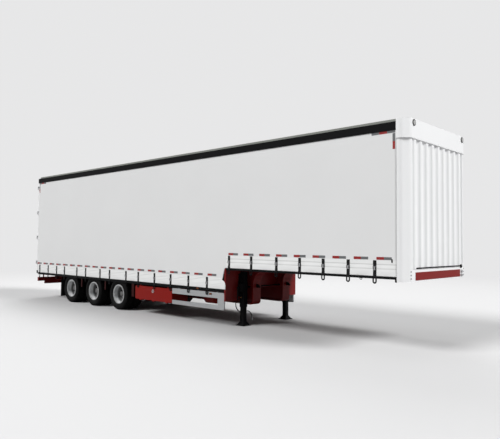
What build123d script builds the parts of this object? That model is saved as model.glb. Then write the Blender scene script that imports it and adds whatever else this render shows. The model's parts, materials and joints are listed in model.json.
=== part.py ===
from build123d import *
import math
import os

# Drop-deck curtain-sided semi trailer, uncoupled, standing on its wheels and landing legs.
# Millimetres. +X forward, +Y left, +Z up, origin on the ground under the middle.

# Lengths along the trailer
NECK_L = 4440.0
AXLE_TO_STEP = 4320.0
AXLE_PITCH = 1310.0
REAR_OVERHANG = 2320.0
LENGTH = NECK_L + AXLE_TO_STEP + 2 * AXLE_PITCH + REAR_OVERHANG
FRONT = LENGTH / 2
REAR = -LENGTH / 2
STEP_X = FRONT - NECK_L
LAST_AXLE = REAR + REAR_OVERHANG
AXLES_X = (LAST_AXLE + 2 * AXLE_PITCH, LAST_AXLE + AXLE_PITCH, LAST_AXLE)

# Overall height, and the width over the rear door hinges that the body stays inside
HEIGHT = 4080.0
WIDTH = 2600.0
KNUCKLE_R = 14.0
PIN_R = 7.0
BORE_GAP = 0.3
HINGE_STAND = 22.0
HINGE_Y = WIDTH / 2 - KNUCKLE_R
HINGE_X = REAR + KNUCKLE_R
SIDE = HINGE_Y - HINGE_STAND

# Wheels and axles
TYRE_D = 867.0
TYRE_W = 265.0
TREAD_W = 204.0
RIM_R = 247.6
RIM_W = 190.0
RIM_LIP = 16.4
RIM_LIP_T = 12.0
RIM_WALL = 9.6
RIM_DISH = 44.0
DISC_T = 24.0
BEAD_GAP = 0.4
DUAL_SPACING = 300.0
TYRE_INSET = 18.0
AXLE_Z = TYRE_D / 2
TWIN_Y = SIDE - TYRE_INSET - TYRE_W / 2 - DUAL_SPACING / 2
TYRE_INNER_Y = TWIN_Y - DUAL_SPACING / 2 - TYRE_W / 2
AXLE_SQUARE = 130.0
SPINDLE_R = 45.0
HUB_R = 110.0
HUB_CAP_R = 78.0
HUB_CAP_L = 165.0
HUB_CAP_T = 45.0
DRUM_R = 185.0
DRUM_L = 205.0
DRUM_T = 20.0
HAND_HOLES = 8
HAND_HOLE_R = 17.0

# Floors and the step between them
FLOOR_T = 28.0
COUPLING_Z = 1235.0
COUPLER_T = 10.0
NECK_H = 67.0
NECK_MEMBER_H = 60.0
TYRE_ROOM = 118.0
MEMBER_H = 102.0
AXLE_ROOM = 71.5
NECK_BOTTOM = COUPLING_Z + COUPLER_T
NECK_TOP = NECK_BOTTOM + NECK_H
UPPER_FLOOR = NECK_TOP + NECK_MEMBER_H + FLOOR_T
LOWER_FLOOR = TYRE_D + TYRE_ROOM
BEAM_TOP = LOWER_FLOOR - FLOOR_T - MEMBER_H
BEAM_BOTTOM = AXLE_Z + AXLE_SQUARE / 2 + AXLE_ROOM
RISER_T = 40.0
STEP_BACK = STEP_X - RISER_T

# Main beams, each a web with a rim flange that follows the cranked outline
BEAM_GAP = 21.0
BEAM_W = 260.0
BEAM_Y = TYRE_INNER_Y - BEAM_GAP - BEAM_W / 2
FLANGE_T = 16.0
WEB_T = 12.0
KNEE_DEPTH = 330.0
KNEE_X = STEP_BACK + KNEE_DEPTH
KNEE_R = 300.0
HEEL_R = 90.0
BELLY_DROP = 95.0
BELLY_AHEAD = 700.0
BELLY_SLOPE = 500.0
BELLY_Z = BEAM_BOTTOM - BELLY_DROP
BELLY_REAR = AXLES_X[0] + BELLY_AHEAD
RISER_ARCH = 25.0
BRACKET_H = 80.0
BRACKET_T = 30.0
BRACKET_NOSE = 36.0
BRACKET_REACH = 105.0
MEMBER_WEB = 6.0
MEMBER_FLANGE_T = 7.0
MEMBER_W = 50.0
NECK_MEMBER_W = 44.0
NECK_MEMBERS = 10
NECK_MARGIN = 190.0
MEMBER_MARGIN = 60.0

# Side rails
RAIL_T = 8.0
RAIL_LIP = 45.0
LIP_T = 6.0
LOWER_RAIL_H = 215.0
UPPER_RAIL_H = 122.0
LIP_ROOM = 40.0
RAIL_TAB_H = 48.0
RAIL_TAB_L = 34.0
LOWER_RAIL_Z = LOWER_FLOOR - LOWER_RAIL_H
UPPER_RAIL_Z = UPPER_FLOOR - UPPER_RAIL_H
INNER = SIDE - RAIL_T

# Front end
LAMP_T = 12.0
LAMP_R = 40.0
BEZEL_R = 58.0
BEZEL_T = 8.0
LAMP_DROP = 70.0
HEADER_FACE = FRONT - LAMP_T
HEADER_PROUD = 18.0
WALL_FACE = HEADER_FACE - HEADER_PROUD
WALL_T = 60.0
WALL_BACK = WALL_FACE - WALL_T
CHAMFER = 130.0
CORNER_R = 110.0
POST_LIP = 50.0
POST_TAIL = 75.0
MITRE = math.sqrt(2) - 1
POST_BACK = WALL_FACE - CHAMFER - POST_TAIL
FRONT_WALL_Y = SIDE - CHAMFER - POST_LIP
SILL_RISE = 5.0
FRONT_BOTTOM = COUPLING_Z + SILL_RISE
SILL_H = 210.0
SHADOW_GAP = 6.0
SHADOW_DEPTH = 18.0
HEADER_H = 345.0
HEADER_Z = HEIGHT - HEADER_H
FLUTE_PITCH = 240.0
FLUTE_DEPTH = 42.0
FLUTE_W = 160.0
FLUTE_EDGE_R = 40.0
PANEL_T = 6.0
PANEL_H = 140.0
PANEL_RISE = 25.0
PANEL_NEAR = 104.0
PANEL_FAR = 148.0
# Front couplings as side offset, rise, radius, half width and half height of the plate, reach
COUPLINGS = (
    (0.0, 100.0, 27.0, 36.0, 34.0, 24.0),
    (-26.0, 27.0, 15.0, 20.0, 25.0, 28.0),
    (26.0, 27.0, 15.0, 20.0, 25.0, 28.0),
)
COUPLING_PLATE_T = 8.0

# Rear frame and doors
FRAME_GAP = 12.0
FRAME_REAR = HINGE_X + FRAME_GAP
FRAME_D = 114.0
FRAME_FRONT = FRAME_REAR + FRAME_D
FRAME_POST = 95.0
FRAME_HEADER = 170.0
DOOR_GAP = 6.0
DOOR_RECESS = 66.0
DOOR_FACE = HINGE_X + DOOR_RECESS
DOOR_T = 35.0
HINGES = 4
HINGE_MARGIN = 190.0
HINGE_H = 80.0
HINGE_LUG_T = 12.0
HINGE_LUG_L = 38.0
HINGE_PLAY = 1.0
BLADE_T = 10.0
BLADE_L = 166.0
ROD_R = 13.5
ROD_STAND = 22.0
ROD_SHORT = 30.0
ROD_SHARES = (0.16, 0.55)
GUIDES = 4
GUIDE_W = 60.0
GUIDE_H = 50.0
CAM_GAP = 2.0
HANDLE_L = 300.0
HANDLE_RISE = 396.0

# Top edge and roof
ROOF_T = 6.0
CANT_H = 155.0
CANT_D = 80.0
CANT_TOP = HEIGHT - ROOF_T
ROOF_SEAT = 14.0
CORNER_ROOM = 4.0
PELMET_T = 8.0
PELMET_STAND = 7.0
PELMET_DROP = 46.0
PELMET_H = 148.0
PELMET_HOOK = 30.0
ROOF_BOWS = 12
BOW_W = 50.0
BOW_H = 40.0

# Curtains and their straps
CURTAIN_T = 4.0
CURTAIN_ROOM = 8.0
UPPER_OVERLAP = 47.0
LOWER_OVERLAP = 70.0
CURTAIN_OUT = SIDE + CURTAIN_T
CURTAIN_LOW = LOWER_RAIL_Z + LOWER_OVERLAP
CURTAIN_HIGH = UPPER_RAIL_Z + UPPER_OVERLAP
CURTAIN_TOP = CANT_TOP - PELMET_DROP - PELMET_HOOK - CURTAIN_ROOM
CURTAIN_REAR = FRAME_REAR + HINGE_LUG_L + CURTAIN_ROOM
STRAP_W = 60.0
STRAP_T = 4.0
STRAP_RISE = 325.0
STRAP_TAIL = 14.0
STRAP_MARGIN = 60.0
BUCKLE_T = 12.0
BUCKLE_W = 64.0
BUCKLE_H = 84.0
BUCKLE_DROP = 135.0
LINK_W = 70.0
LINK_H = 118.0
LINK_T = 10.0
LINK_WIRE = 18.0
LINK_CLIP = 24.0
# Distance of each upper strap behind the front, and of each lower strap ahead of the rear
UPPER_STRAPS = (658, 1209, 1768, 2337, 2943, 3652, 4330)
LOWER_STRAPS = (262, 858, 1432, 1948, 2718, 3235, 4039, 4540, 5356, 5930, 6639, 7304, 7985, 8647)

# Landing gear and coupling
LEG_GAP = 37.5
LEG_W = 125.0
LEG_INNER = 105.0
LEG_MOUNT = 20.0
LEG_MOUNT_W = 180.0
LEG_Y = BEAM_Y + BEAM_W / 2 + LEG_GAP + LEG_W / 2
LEG_X = STEP_X + LEG_MOUNT + LEG_W / 2
LEG_TUBE_Z = 420.0
LEG_TOP_GAP = 20.0
FOOT_W = 250.0
FOOT_H = 90.0
FOOT_T = 18.0
FOOT_BASE = 210.0
FOOT_COLLAR = 113.0
SHAFT_R = 14.0
SHAFT_DROP = 375.0
SHAFT_Z = NECK_BOTTOM - SHAFT_DROP
GEAR_L = 110.0
GEAR_D = 70.0
GEAR_H = 180.0
CRANK_L = 280.0
CRANK_R = 13.0
CRANK_T = 18.0
CRANK_REACH = 52.0
HOSE_R = 11.0
HOSE_CLIP = 7
HOSE_BEND = 0.45
# Route of the hose as distance ahead of the leg's middle, distance inboard of its inner face, height
HOSE_ROUTE = (
    (-408.0, 107.5, 415.0), (-375.0, 97.0, 350.0), (-312.0, 79.0, 305.0), (-232.0, 58.0, 283.0),
    (-148.0, 38.0, 281.0), (-70.0, 22.0, 294.0), (0.0, 17.5, 316.0), (62.0, 17.5, 333.0),
    (122.0, 17.5, 325.0), (172.0, 17.5, 288.0), (202.0, 17.5, 236.0), (214.0, 17.5, 182.0),
)
FITTING_R = 17.0
FITTING_L = 46.0
KINGPIN_BACK = 900.0
KINGPIN_COLLAR_R = 36.5
KINGPIN_WAIST_R = 25.4
KINGPIN_FLANGE_R = 110.0
KINGPIN_FLANGE_T = 14.0
KINGPIN_L = 84.0
KINGPIN_HEAD = 26.0
KINGPIN_EDGE = 5.0
PLATE_AHEAD = 600.0
PLATE_BEHIND = 900.0
PLATE_CLIP = 160.0

# Side equipment
BOX_BEHIND = 426.5
BOX_L = 1560.0
BOX_H = 350.0
BOX_D = 480.0
BOX_WALL = 8.0
BOX_DROP = 40.0
BOX_CORNER = 50.0
BOX_HANGER_W = 60.0
BOX_HANGER_IN = 200.0
BOX_REAR = AXLES_X[0] + TYRE_D / 2 + BOX_BEHIND
BOX_FRONT = BOX_REAR + BOX_L
LID_GAP = 6.0
LID_T = 18.0
LID_INSET = 2.0
LATCH_R = 45.0
LATCH_T = 6.0
LATCH_RIM = 9.0
LATCH_RISE = 60.0
LID_PIN_R = 5.0
LID_KNUCKLE_R = 10.5
LID_KNUCKLE_L = 60.0
LID_TAB_T = 12.0
LID_PIN_DROP = 12.0
LID_EAR_T = 12.0
LID_EAR_L = 60.0
GUARD_GAP = 4.0
GUARD_T = 36.0
GUARD_DROP = 15.0
GUARD_TOP_H = 130.0
GUARD_OPEN_H = 160.0
GUARD_LOW_H = 97.0
GUARD_END = 210.0
GUARD_CORNER = 30.0
GUARD_POST_W = 60.0
GUARD_POST_T = 16.0
GUARD_POST_SHARES = (0.12, 0.5, 0.86)
GUARD_GROOVE = 6.0
GUARD_REAR = BOX_FRONT + GUARD_GAP
GUARD_FRONT = STEP_BACK - GUARD_GAP
TANK_R = 115.0
TANK_L = 440.0
TANK_BACK = 740.0
TANK_IN = 414.0
TANK_DROP = 220.0
TANK_DOME = 60.0
TANK_STRAP_W = 60.0
TANK_STRAP_T = 20.0

# Rear bumper
BUMPER_IN = 50.0
BUMPER_D = 70.0
BUMPER_DROP = 100.0
BUMPER_H = 130.0
BUMPER_INSET = 24.0
UNDERRUN_H = 95.0
UNDERRUN_INSET = 264.0
BUMPER_PLATE_T = 16.0
BUMPER_PLATE_INSET = 214.0
TAIL_LAMP_T = 24.0
TAIL_LAMP_L = 370.0
TAIL_LAMP_H = 90.0

# Running gear
PIVOT_AHEAD = 480.0
PIVOT_DROP = 20.0
PIVOT_R = 14.0
HANGER_TOP = 80.0
HANGER_LOW = 55.0
HANGER_W = 112.0
HANGER_SLOT = 84.0
ARM_W = 76.0
ARM_EYE_R = 42.0
ARM_DEPTH = 64.0
ARM_STEP = 20.0
ARM_SEAT = 90.0
ARM_BEND = 250.0
BAG_BEHIND = 380.0
BAG_R = 136.0
BAG_PISTON_R = 92.0
CHAMBER_R = 72.0
CHAMBER_L = 160.0
CHAMBER_IN = 200.0
STAY_W = 60.0
STAY_T = 8.0
STAY_DROP = 255.0
FRONT_STAY_W = 110.0
FRONT_STAY_GAP = 87.0
FRONT_STAY_DROP = 350.0
STAY_INSET = 20.0
FLAP_BEHIND = 580.0
FLAP_T = 6.0
FLAP_CLEAR = 150.0
FLAP_IN = 9.0
FLAP_BAR_H = 70.0
FLAP_BAR_W = 50.0


def block(x0, x1, y0, y1, z0, z1):
    """Box between six planes."""
    middle = Pos((x0 + x1) / 2, (y0 + y1) / 2, (z0 + z1) / 2)
    return middle * Box(abs(x1 - x0), abs(y1 - y0), abs(z1 - z0))


def prism_x(points, x0, x1):
    """Outline in (y, z) drawn along X."""
    face = make_face(Polyline(*[(x0, y, z) for y, z in points], close=True))
    return extrude(face, x1 - x0, dir=(1, 0, 0))


def prism_y(points, y0, y1):
    """Outline in (x, z) drawn along Y."""
    face = make_face(Polyline(*[(x, y0, z) for x, z in points], close=True))
    return extrude(face, y1 - y0, dir=(0, 1, 0))


def prism_z(points, z0, z1):
    """Outline in (x, y) drawn along Z."""
    face = make_face(Polyline(*[(x, y, z0) for x, y in points], close=True))
    return extrude(face, z1 - z0, dir=(0, 0, 1))


def ring_y(points):
    """Outline in (y, radius) turned about the Y axis."""
    face = make_face(Polyline(*[(0, y, r) for y, r in points], close=True))
    return revolve(face, Axis.Y)


def ring_z(points):
    """Outline in (radius, z) turned about the Z axis."""
    face = make_face(Polyline(*[(r, 0, z) for r, z in points], close=True))
    return revolve(face, Axis.Z)


def rod(x, y, z, radius, length, along):
    """Round bar centred on a point, along X, Y or Z."""
    turn = {"x": Rot(0, 90, 0), "y": Rot(90, 0, 0), "z": Rot(0, 0, 0)}[along]
    return Pos(x, y, z) * turn * Cylinder(radius, length)


def rounded_plate(x0, x1, y0, y1, z0, z1, radius):
    """Upright plate with rounded corners in side view."""
    face = Plane.XZ * RectangleRounded(x1 - x0, z1 - z0, radius)
    return Pos((x0 + x1) / 2, y1, (z0 + z1) / 2) * extrude(face, y1 - y0)


def round_uprights(shape, places, radius):
    """Round the upright edges that stand at the given (x, y) places."""
    edges = [
        edge for edge in shape.edges().filter_by(Axis.Z)
        if any(math.hypot(edge.center().X - x, edge.center().Y - y) < 1 for x, y in places)
    ]
    return fillet(edges, radius)


def other_side(shape):
    """The same piece on the right-hand side."""
    return mirror(shape, about=Plane.XZ)


def pair(shape):
    """A left-hand piece and its right-hand twin."""
    return [shape, other_side(shape)]


def pairs(shapes):
    """Left-hand pieces and their right-hand twins."""
    return [piece for shape in shapes for piece in pair(shape)]


# Main beams

def beam_outline(inset):
    """Side outline of a main beam, drawn in by the inset, as a face in the plane y = 0."""
    rear = FRAME_FRONT + inset
    front = WALL_BACK - inset
    low = BEAM_BOTTOM + inset
    belly = BELLY_Z + inset
    knee = KNEE_X - inset
    neck_low = NECK_BOTTOM + inset
    neck_high = NECK_TOP - inset
    step = STEP_BACK + inset
    deck = BEAM_TOP - inset
    heel = HEEL_R - inset
    arch = KNEE_R + inset
    heel_x = KNEE_X - HEEL_R
    heel_z = BELLY_Z + HEEL_R
    arch_x = KNEE_X + KNEE_R
    arch_z = NECK_BOTTOM - KNEE_R
    half = math.sqrt(0.5)
    edges = [
        Polyline(
            (rear, 0, low), (BELLY_REAR, 0, low), (BELLY_REAR + BELLY_SLOPE, 0, belly), (heel_x, 0, belly)
        ),
        ThreePointArc(
            (heel_x, 0, belly), (heel_x + heel * half, 0, heel_z - heel * half), (knee, 0, heel_z)
        ),
        Line((knee, 0, heel_z), (knee, 0, arch_z)),
        ThreePointArc(
            (knee, 0, arch_z), (arch_x - arch * half, 0, arch_z + arch * half), (arch_x, 0, neck_low)
        ),
        Polyline((arch_x, 0, neck_low), (front, 0, neck_low), (front, 0, neck_high), (step, 0, neck_high)),
        Polyline((step, 0, neck_high), (step, 0, deck), (rear, 0, deck), (rear, 0, low)),
    ]
    return make_face(edges)


def main_beam():
    """Left main beam: solid outline with a pocket on each face that leaves web and flanges."""
    body = Pos(0, BEAM_Y, 0) * extrude(beam_outline(0), BEAM_W / 2, dir=(0, 1, 0), both=True)
    pocket = extrude(beam_outline(FLANGE_T), (BEAM_W - WEB_T) / 2, dir=(0, 1, 0))
    body = body - Pos(0, BEAM_Y + WEB_T / 2, 0) * pocket
    body = body - Pos(0, BEAM_Y - BEAM_W / 2, 0) * pocket
    return body - rod(LEG_X, BEAM_Y, SHAFT_Z, SHAFT_R + BORE_GAP, WEB_T * 2, "y")


BEAMS = pair(main_beam())


# Cross members, floors, riser and side rails

MEMBER_PITCH = AXLE_PITCH / 4
FIRST_MEMBER = LAST_AXLE + MEMBER_PITCH / 2
AHEAD = math.floor((STEP_BACK - MEMBER_MARGIN - FIRST_MEMBER) / MEMBER_PITCH)
BEHIND = math.floor((FIRST_MEMBER - FRAME_FRONT - MEMBER_MARGIN) / MEMBER_PITCH)
DECK_STATIONS = [FIRST_MEMBER + i * MEMBER_PITCH for i in range(-BEHIND, AHEAD + 1)]
NECK_PITCH = (WALL_BACK - STEP_X - 2 * NECK_MARGIN) / (NECK_MEMBERS - 1)
NECK_STATIONS = [STEP_X + NECK_MARGIN + i * NECK_PITCH for i in range(NECK_MEMBERS)]


def cross_member(x, z0, z1, width):
    """I-section across the trailer from rail to rail."""
    f = width / 2
    w = MEMBER_WEB / 2
    t = MEMBER_FLANGE_T
    points = [
        (x - f, z0), (x + f, z0), (x + f, z0 + t), (x + w, z0 + t), (x + w, z1 - t), (x + f, z1 - t),
        (x + f, z1), (x - f, z1), (x - f, z1 - t), (x - w, z1 - t), (x - w, z0 + t), (x - f, z0 + t),
    ]
    return prism_y(points, -INNER, INNER)


def deck_cross_members():
    """Cross members on the main beams, placed so that none lies over a tyre's crown."""
    return [cross_member(x, BEAM_TOP, BEAM_TOP + MEMBER_H, MEMBER_W) for x in DECK_STATIONS]


def neck_cross_members():
    """Lower cross members on the neck."""
    return [cross_member(x, NECK_TOP, NECK_TOP + NECK_MEMBER_H, NECK_MEMBER_W) for x in NECK_STATIONS]


def step_riser():
    """Cross wall at the step, cut round the two beams that pass through it and open below between them."""
    wall = block(STEP_BACK, STEP_X, -SIDE, SIDE, BEAM_BOTTOM, UPPER_FLOOR - FLOOR_T)
    wall = wall - block(STEP_BACK, STEP_X, -BEAM_Y, BEAM_Y, BEAM_BOTTOM, BEAM_TOP - RISER_ARCH)
    for beam in BEAMS:
        wall = wall - beam
    return wall.solids()


def side_rail(z0, z1, x0, x1):
    """Angle rail: outer web with an inward lip at the bottom for the strap hooks."""
    points = [
        (SIDE, z0), (SIDE, z1), (INNER, z1), (INNER, z0 + LIP_T),
        (SIDE - RAIL_LIP, z0 + LIP_T), (SIDE - RAIL_LIP, z0),
    ]
    return prism_x(points, x0, x1)


def side_rails():
    """Lower rails with the lip cut away over each wheel, and upper rails with a turned-down front tab."""
    lower = side_rail(LOWER_RAIL_Z, LOWER_FLOOR, FRAME_FRONT, STEP_BACK)
    reach = TYRE_D / 2 + LIP_ROOM
    for a in AXLES_X:
        lip = block(a - reach, a + reach, SIDE - RAIL_LIP, INNER, LOWER_RAIL_Z, LOWER_RAIL_Z + LIP_T)
        lower = lower - lip
    upper = side_rail(UPPER_RAIL_Z, UPPER_FLOOR, STEP_X, POST_BACK)
    tab_z = UPPER_RAIL_Z - RAIL_TAB_H
    tab = block(POST_BACK - RAIL_TAB_L, POST_BACK, INNER, SIDE, tab_z, UPPER_RAIL_Z + LIP_T)
    return pairs([lower, upper + tab])


def upper_floor():
    """Neck floor, narrowed in front where it runs in between the corner posts."""
    half = SIDE - WALL_T - RAIL_T
    points = [
        (STEP_BACK, -INNER), (POST_BACK, -INNER), (POST_BACK, -half), (WALL_BACK - CHAMFER, -half),
        (WALL_BACK, -half + CHAMFER), (WALL_BACK, half - CHAMFER), (WALL_BACK - CHAMFER, half),
        (POST_BACK, half), (POST_BACK, INNER), (STEP_BACK, INNER),
    ]
    return prism_z(points, UPPER_FLOOR - FLOOR_T, UPPER_FLOOR)


def lower_floor():
    """Deck floor between the rear frame and the riser."""
    return block(FRAME_FRONT, STEP_BACK, -INNER, INNER, LOWER_FLOOR - FLOOR_T, LOWER_FLOOR)


# Coupling

PIN_X = FRONT - KINGPIN_BACK


def coupler_plate():
    """Skid plate under the neck with a clipped nose and the kingpin hole."""
    x0 = PIN_X - PLATE_BEHIND
    x1 = PIN_X + PLATE_AHEAD
    half = BEAM_Y + BEAM_W / 2
    c = PLATE_CLIP
    points = [(x0, -half), (x1 - c, -half), (x1, -half + c), (x1, half - c), (x1 - c, half), (x0, half)]
    plate = prism_z(points, COUPLING_Z, COUPLING_Z + COUPLER_T)
    return plate - rod(PIN_X, 0, COUPLING_Z, KINGPIN_COLLAR_R + BEAD_GAP, COUPLER_T * 4, "z")


def kingpin():
    """Two-inch kingpin: collar, waist and head, on a flange that lies on the plate."""
    collar = KINGPIN_COLLAR_R
    waist = KINGPIN_WAIST_R
    edge = KINGPIN_EDGE
    head = KINGPIN_L - KINGPIN_HEAD
    top = COUPLER_T + KINGPIN_FLANGE_T
    points = [
        (0, top), (KINGPIN_FLANGE_R, top), (KINGPIN_FLANGE_R, COUPLER_T), (collar, COUPLER_T),
        (collar, -edge), (waist, -2 * edge), (waist, edge - head), (collar, -head),
        (collar, edge - KINGPIN_L), (collar - edge, -KINGPIN_L), (0, -KINGPIN_L),
    ]
    return Pos(PIN_X, 0, COUPLING_Z) * ring_z(points)


# Landing gear

def landing_leg():
    """Left leg: outer tube, inner tube and the mounting plate on the riser."""
    h = LEG_W / 2
    i = LEG_INNER / 2
    m = LEG_MOUNT_W / 2
    outer = block(LEG_X - h, LEG_X + h, LEG_Y - h, LEG_Y + h, LEG_TUBE_Z, NECK_BOTTOM - LEG_TOP_GAP)
    inner = block(LEG_X - i, LEG_X + i, LEG_Y - i, LEG_Y + i, FOOT_H, LEG_TUBE_Z)
    plate = block(STEP_X, STEP_X + LEG_MOUNT, LEG_Y - m, LEG_Y + m, BEAM_BOTTOM + m, NECK_BOTTOM - h)
    return outer + inner + plate


def landing_foot():
    """Left foot: sand plate with a flared socket."""
    f = FOOT_W / 2
    plate = block(LEG_X - f, LEG_X + f, LEG_Y - f, LEG_Y + f, 0, FOOT_T)
    low = Pos(LEG_X, LEG_Y, FOOT_T) * Rectangle(FOOT_BASE, FOOT_BASE)
    high = Pos(LEG_X, LEG_Y, FOOT_H) * Rectangle(FOOT_COLLAR, FOOT_COLLAR)
    return plate + loft([low, high])


def landing_crank():
    """Gear case on the right leg with its folded crank."""
    y = -LEG_Y - LEG_W / 2
    face = y - GEAR_D
    tip = face - CRANK_REACH
    low = SHAFT_Z - GEAR_H / 2
    case = block(LEG_X - GEAR_L / 2, LEG_X + GEAR_L / 2, face, y, low, low + GEAR_H)
    stub = rod(LEG_X, (face + tip) / 2, SHAFT_Z, CRANK_R, CRANK_REACH + CRANK_T, "y")
    arm = block(LEG_X - CRANK_R, LEG_X + CRANK_R, tip - CRANK_T, tip, SHAFT_Z - CRANK_L, SHAFT_Z + CRANK_R)
    grip = rod(LEG_X, tip + CRANK_R, SHAFT_Z - CRANK_L + CRANK_R, CRANK_R, CRANK_REACH, "y")
    return case + stub + arm + grip


def landing_shaft():
    """Cross shaft between the legs, through the webs of the beams."""
    return rod(LEG_X, 0, SHAFT_Z, SHAFT_R, 2 * (LEG_Y - LEG_W / 2), "y")


def knee_bracket():
    """Line bracket on the front of the left beam, just under the curve of the knee."""
    top = NECK_BOTTOM - KNEE_R
    points = [
        (KNEE_X, top - BRACKET_H), (KNEE_X + BRACKET_REACH, top - BRACKET_H),
        (KNEE_X + BRACKET_REACH, top - BRACKET_H + BRACKET_T), (KNEE_X + BRACKET_NOSE, top), (KNEE_X, top),
    ]
    return prism_y(points, BEAM_Y, BEAM_Y + BRACKET_T)


def bend_radii(points):
    """Largest even radius at each corner of a route that its two runs leave room for."""
    radii = []
    for before, corner, after in zip(points, points[1:], points[2:]):
        turn = (corner - before).get_angle(after - corner)
        reach = HOSE_BEND * min((corner - before).length, (after - corner).length)
        radii.append(reach / math.tan(math.radians(turn / 2)))
    return radii


def air_hose():
    """Air line from the right beam, clipped to the inside of the right leg, its end hanging in front."""
    inside = LEG_INNER / 2 - LEG_Y
    route = [Vector(LEG_X + ahead, inside + inboard, z) for ahead, inboard, z in HOSE_ROUTE]
    start = Vector(route[0].X, route[0].Y, BELLY_Z)
    route = [start] + route
    radii = bend_radii(route)
    print("Hose bends from", round(min(radii)), "to", round(max(radii)), "mm")
    path = FilletPolyline(*route, radius=radii)
    hose = sweep(Plane(start, z_dir=route[1] - start) * Circle(HOSE_R), path=path)
    x, y, z = route[HOSE_CLIP]
    clip = block(x - FITTING_R, x + FITTING_R, inside, y, z - FITTING_R, z + FITTING_R)
    end = Plane(route[-1], z_dir=route[-1] - route[-2])
    return hose + clip + end * Pos(0, 0, FITTING_L / 2) * Cylinder(FITTING_R, FITTING_L)


# Front end

def front_wall():
    """Wall with round upright flutes between rounded crowns, and half a flute at each post."""
    half = FLUTE_W / 2
    radius = (half ** 2 + FLUTE_DEPTH ** 2) / (2 * FLUTE_DEPTH)
    x = WALL_FACE - FLUTE_DEPTH + radius
    z = FRONT_BOTTOM + SILL_H + SHADOW_GAP
    wall = block(WALL_BACK, WALL_FACE, -FRONT_WALL_Y, FRONT_WALL_Y, z, HEADER_Z)
    count = round(2 * FRONT_WALL_Y / FLUTE_PITCH)
    pitch = 2 * FRONT_WALL_Y / count
    flutes = [i * pitch - FRONT_WALL_Y for i in range(count + 1)]
    for y in flutes:
        wall = wall - rod(x, y, (z + HEADER_Z) / 2, radius, HEADER_Z - z, "z")
    crowns = [(WALL_FACE, y + half) for y in flutes[:-1]] + [(WALL_FACE, y - half) for y in flutes[1:]]
    return round_uprights(wall, crowns, FLUTE_EDGE_R)


def corner_post():
    """Left front corner post with its rounded forty-five degree face."""
    bend = MITRE * WALL_T
    knees = [(WALL_FACE - CHAMFER, SIDE), (WALL_FACE, SIDE - CHAMFER)]
    points = [
        (POST_BACK, SIDE), *knees, (WALL_FACE, FRONT_WALL_Y),
        (WALL_BACK, FRONT_WALL_Y), (WALL_BACK, SIDE - CHAMFER - bend),
        (WALL_FACE - CHAMFER - bend, SIDE - WALL_T), (POST_BACK, SIDE - WALL_T),
    ]
    return round_uprights(prism_z(points, FRONT_BOTTOM, HEADER_Z), knees, CORNER_R)


def front_header():
    """Top front beam that follows the rounded corners and stands proud of the wall."""
    thick = WALL_T + HEADER_PROUD
    bend = MITRE * thick
    half = SIDE + HEADER_PROUD
    outer = [(POST_BACK, half), (HEADER_FACE - CHAMFER, half), (HEADER_FACE, half - CHAMFER)]
    inner = [
        (POST_BACK, half - thick), (HEADER_FACE - CHAMFER - bend, half - thick),
        (HEADER_FACE - thick, half - CHAMFER - bend),
    ]
    points = outer + [(x, -y) for x, y in reversed(outer)] + [(x, -y) for x, y in inner] + inner[::-1]
    knees = outer[1:] + [(x, -y) for x, y in outer[1:]]
    return round_uprights(prism_z(points, HEADER_Z, HEIGHT), knees, CORNER_R)


def front_sill():
    """Bottom front beam with a rebate that makes the shadow line under the wall."""
    z = FRONT_BOTTOM + SILL_H
    ledge = WALL_FACE - SHADOW_DEPTH
    points = [
        (WALL_BACK, FRONT_BOTTOM), (WALL_FACE, FRONT_BOTTOM), (WALL_FACE, z), (ledge, z),
        (ledge, z + SHADOW_GAP), (WALL_BACK, z + SHADOW_GAP),
    ]
    return prism_y(points, -FRONT_WALL_Y, FRONT_WALL_Y)


def front_panel():
    """Plain red panel on the sill."""
    z = FRONT_BOTTOM + PANEL_RISE
    near = PANEL_NEAR - FRONT_WALL_Y
    return block(WALL_FACE, WALL_FACE + PANEL_T, near, FRONT_WALL_Y - PANEL_FAR, z, z + PANEL_H)


def front_couplings():
    """Electric socket and two air couplings beside the panel."""
    middle = FRONT_WALL_Y - PANEL_FAR / 2
    pieces = []
    for offset, rise, radius, half_width, half_height, reach in COUPLINGS:
        y = middle + offset
        z = FRONT_BOTTOM + PANEL_RISE + rise
        plate = block(
            WALL_FACE, WALL_FACE + COUPLING_PLATE_T,
            y - half_width, y + half_width, z - half_height, z + half_height,
        )
        pieces.append(plate + rod(WALL_FACE + reach / 2, y, z, radius, reach, "x"))
    return pieces


def marker_lamps():
    """Round front marker lamps in dark bezels on the header."""
    y = SIDE + HEADER_PROUD - CHAMFER - CORNER_R * MITRE - BEZEL_R
    z = HEIGHT - LAMP_DROP
    bezel = rod(HEADER_FACE + BEZEL_T / 2, y, z, BEZEL_R, BEZEL_T, "x")
    return pair(bezel + rod(HEADER_FACE + LAMP_T / 2, y, z, LAMP_R, LAMP_T, "x"))


# Rear end

DOOR_BOTTOM = LOWER_FLOOR + DOOR_GAP
DOOR_TOP = CANT_TOP - FRAME_HEADER - DOOR_GAP
DOOR_EDGE = SIDE - FRAME_POST - DOOR_GAP
HINGE_PITCH = (DOOR_TOP - DOOR_BOTTOM - 2 * HINGE_MARGIN) / (HINGES - 1)
HINGE_Z = [DOOR_BOTTOM + HINGE_MARGIN + i * HINGE_PITCH for i in range(HINGES)]


def rear_frame():
    """Portal of posts, sill and header."""
    outer = block(FRAME_REAR, FRAME_FRONT, -SIDE, SIDE, LOWER_RAIL_Z, CANT_TOP)
    edge = SIDE - FRAME_POST
    return outer - block(FRAME_REAR, FRAME_FRONT, -edge, edge, LOWER_FLOOR, CANT_TOP - FRAME_HEADER)


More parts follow.
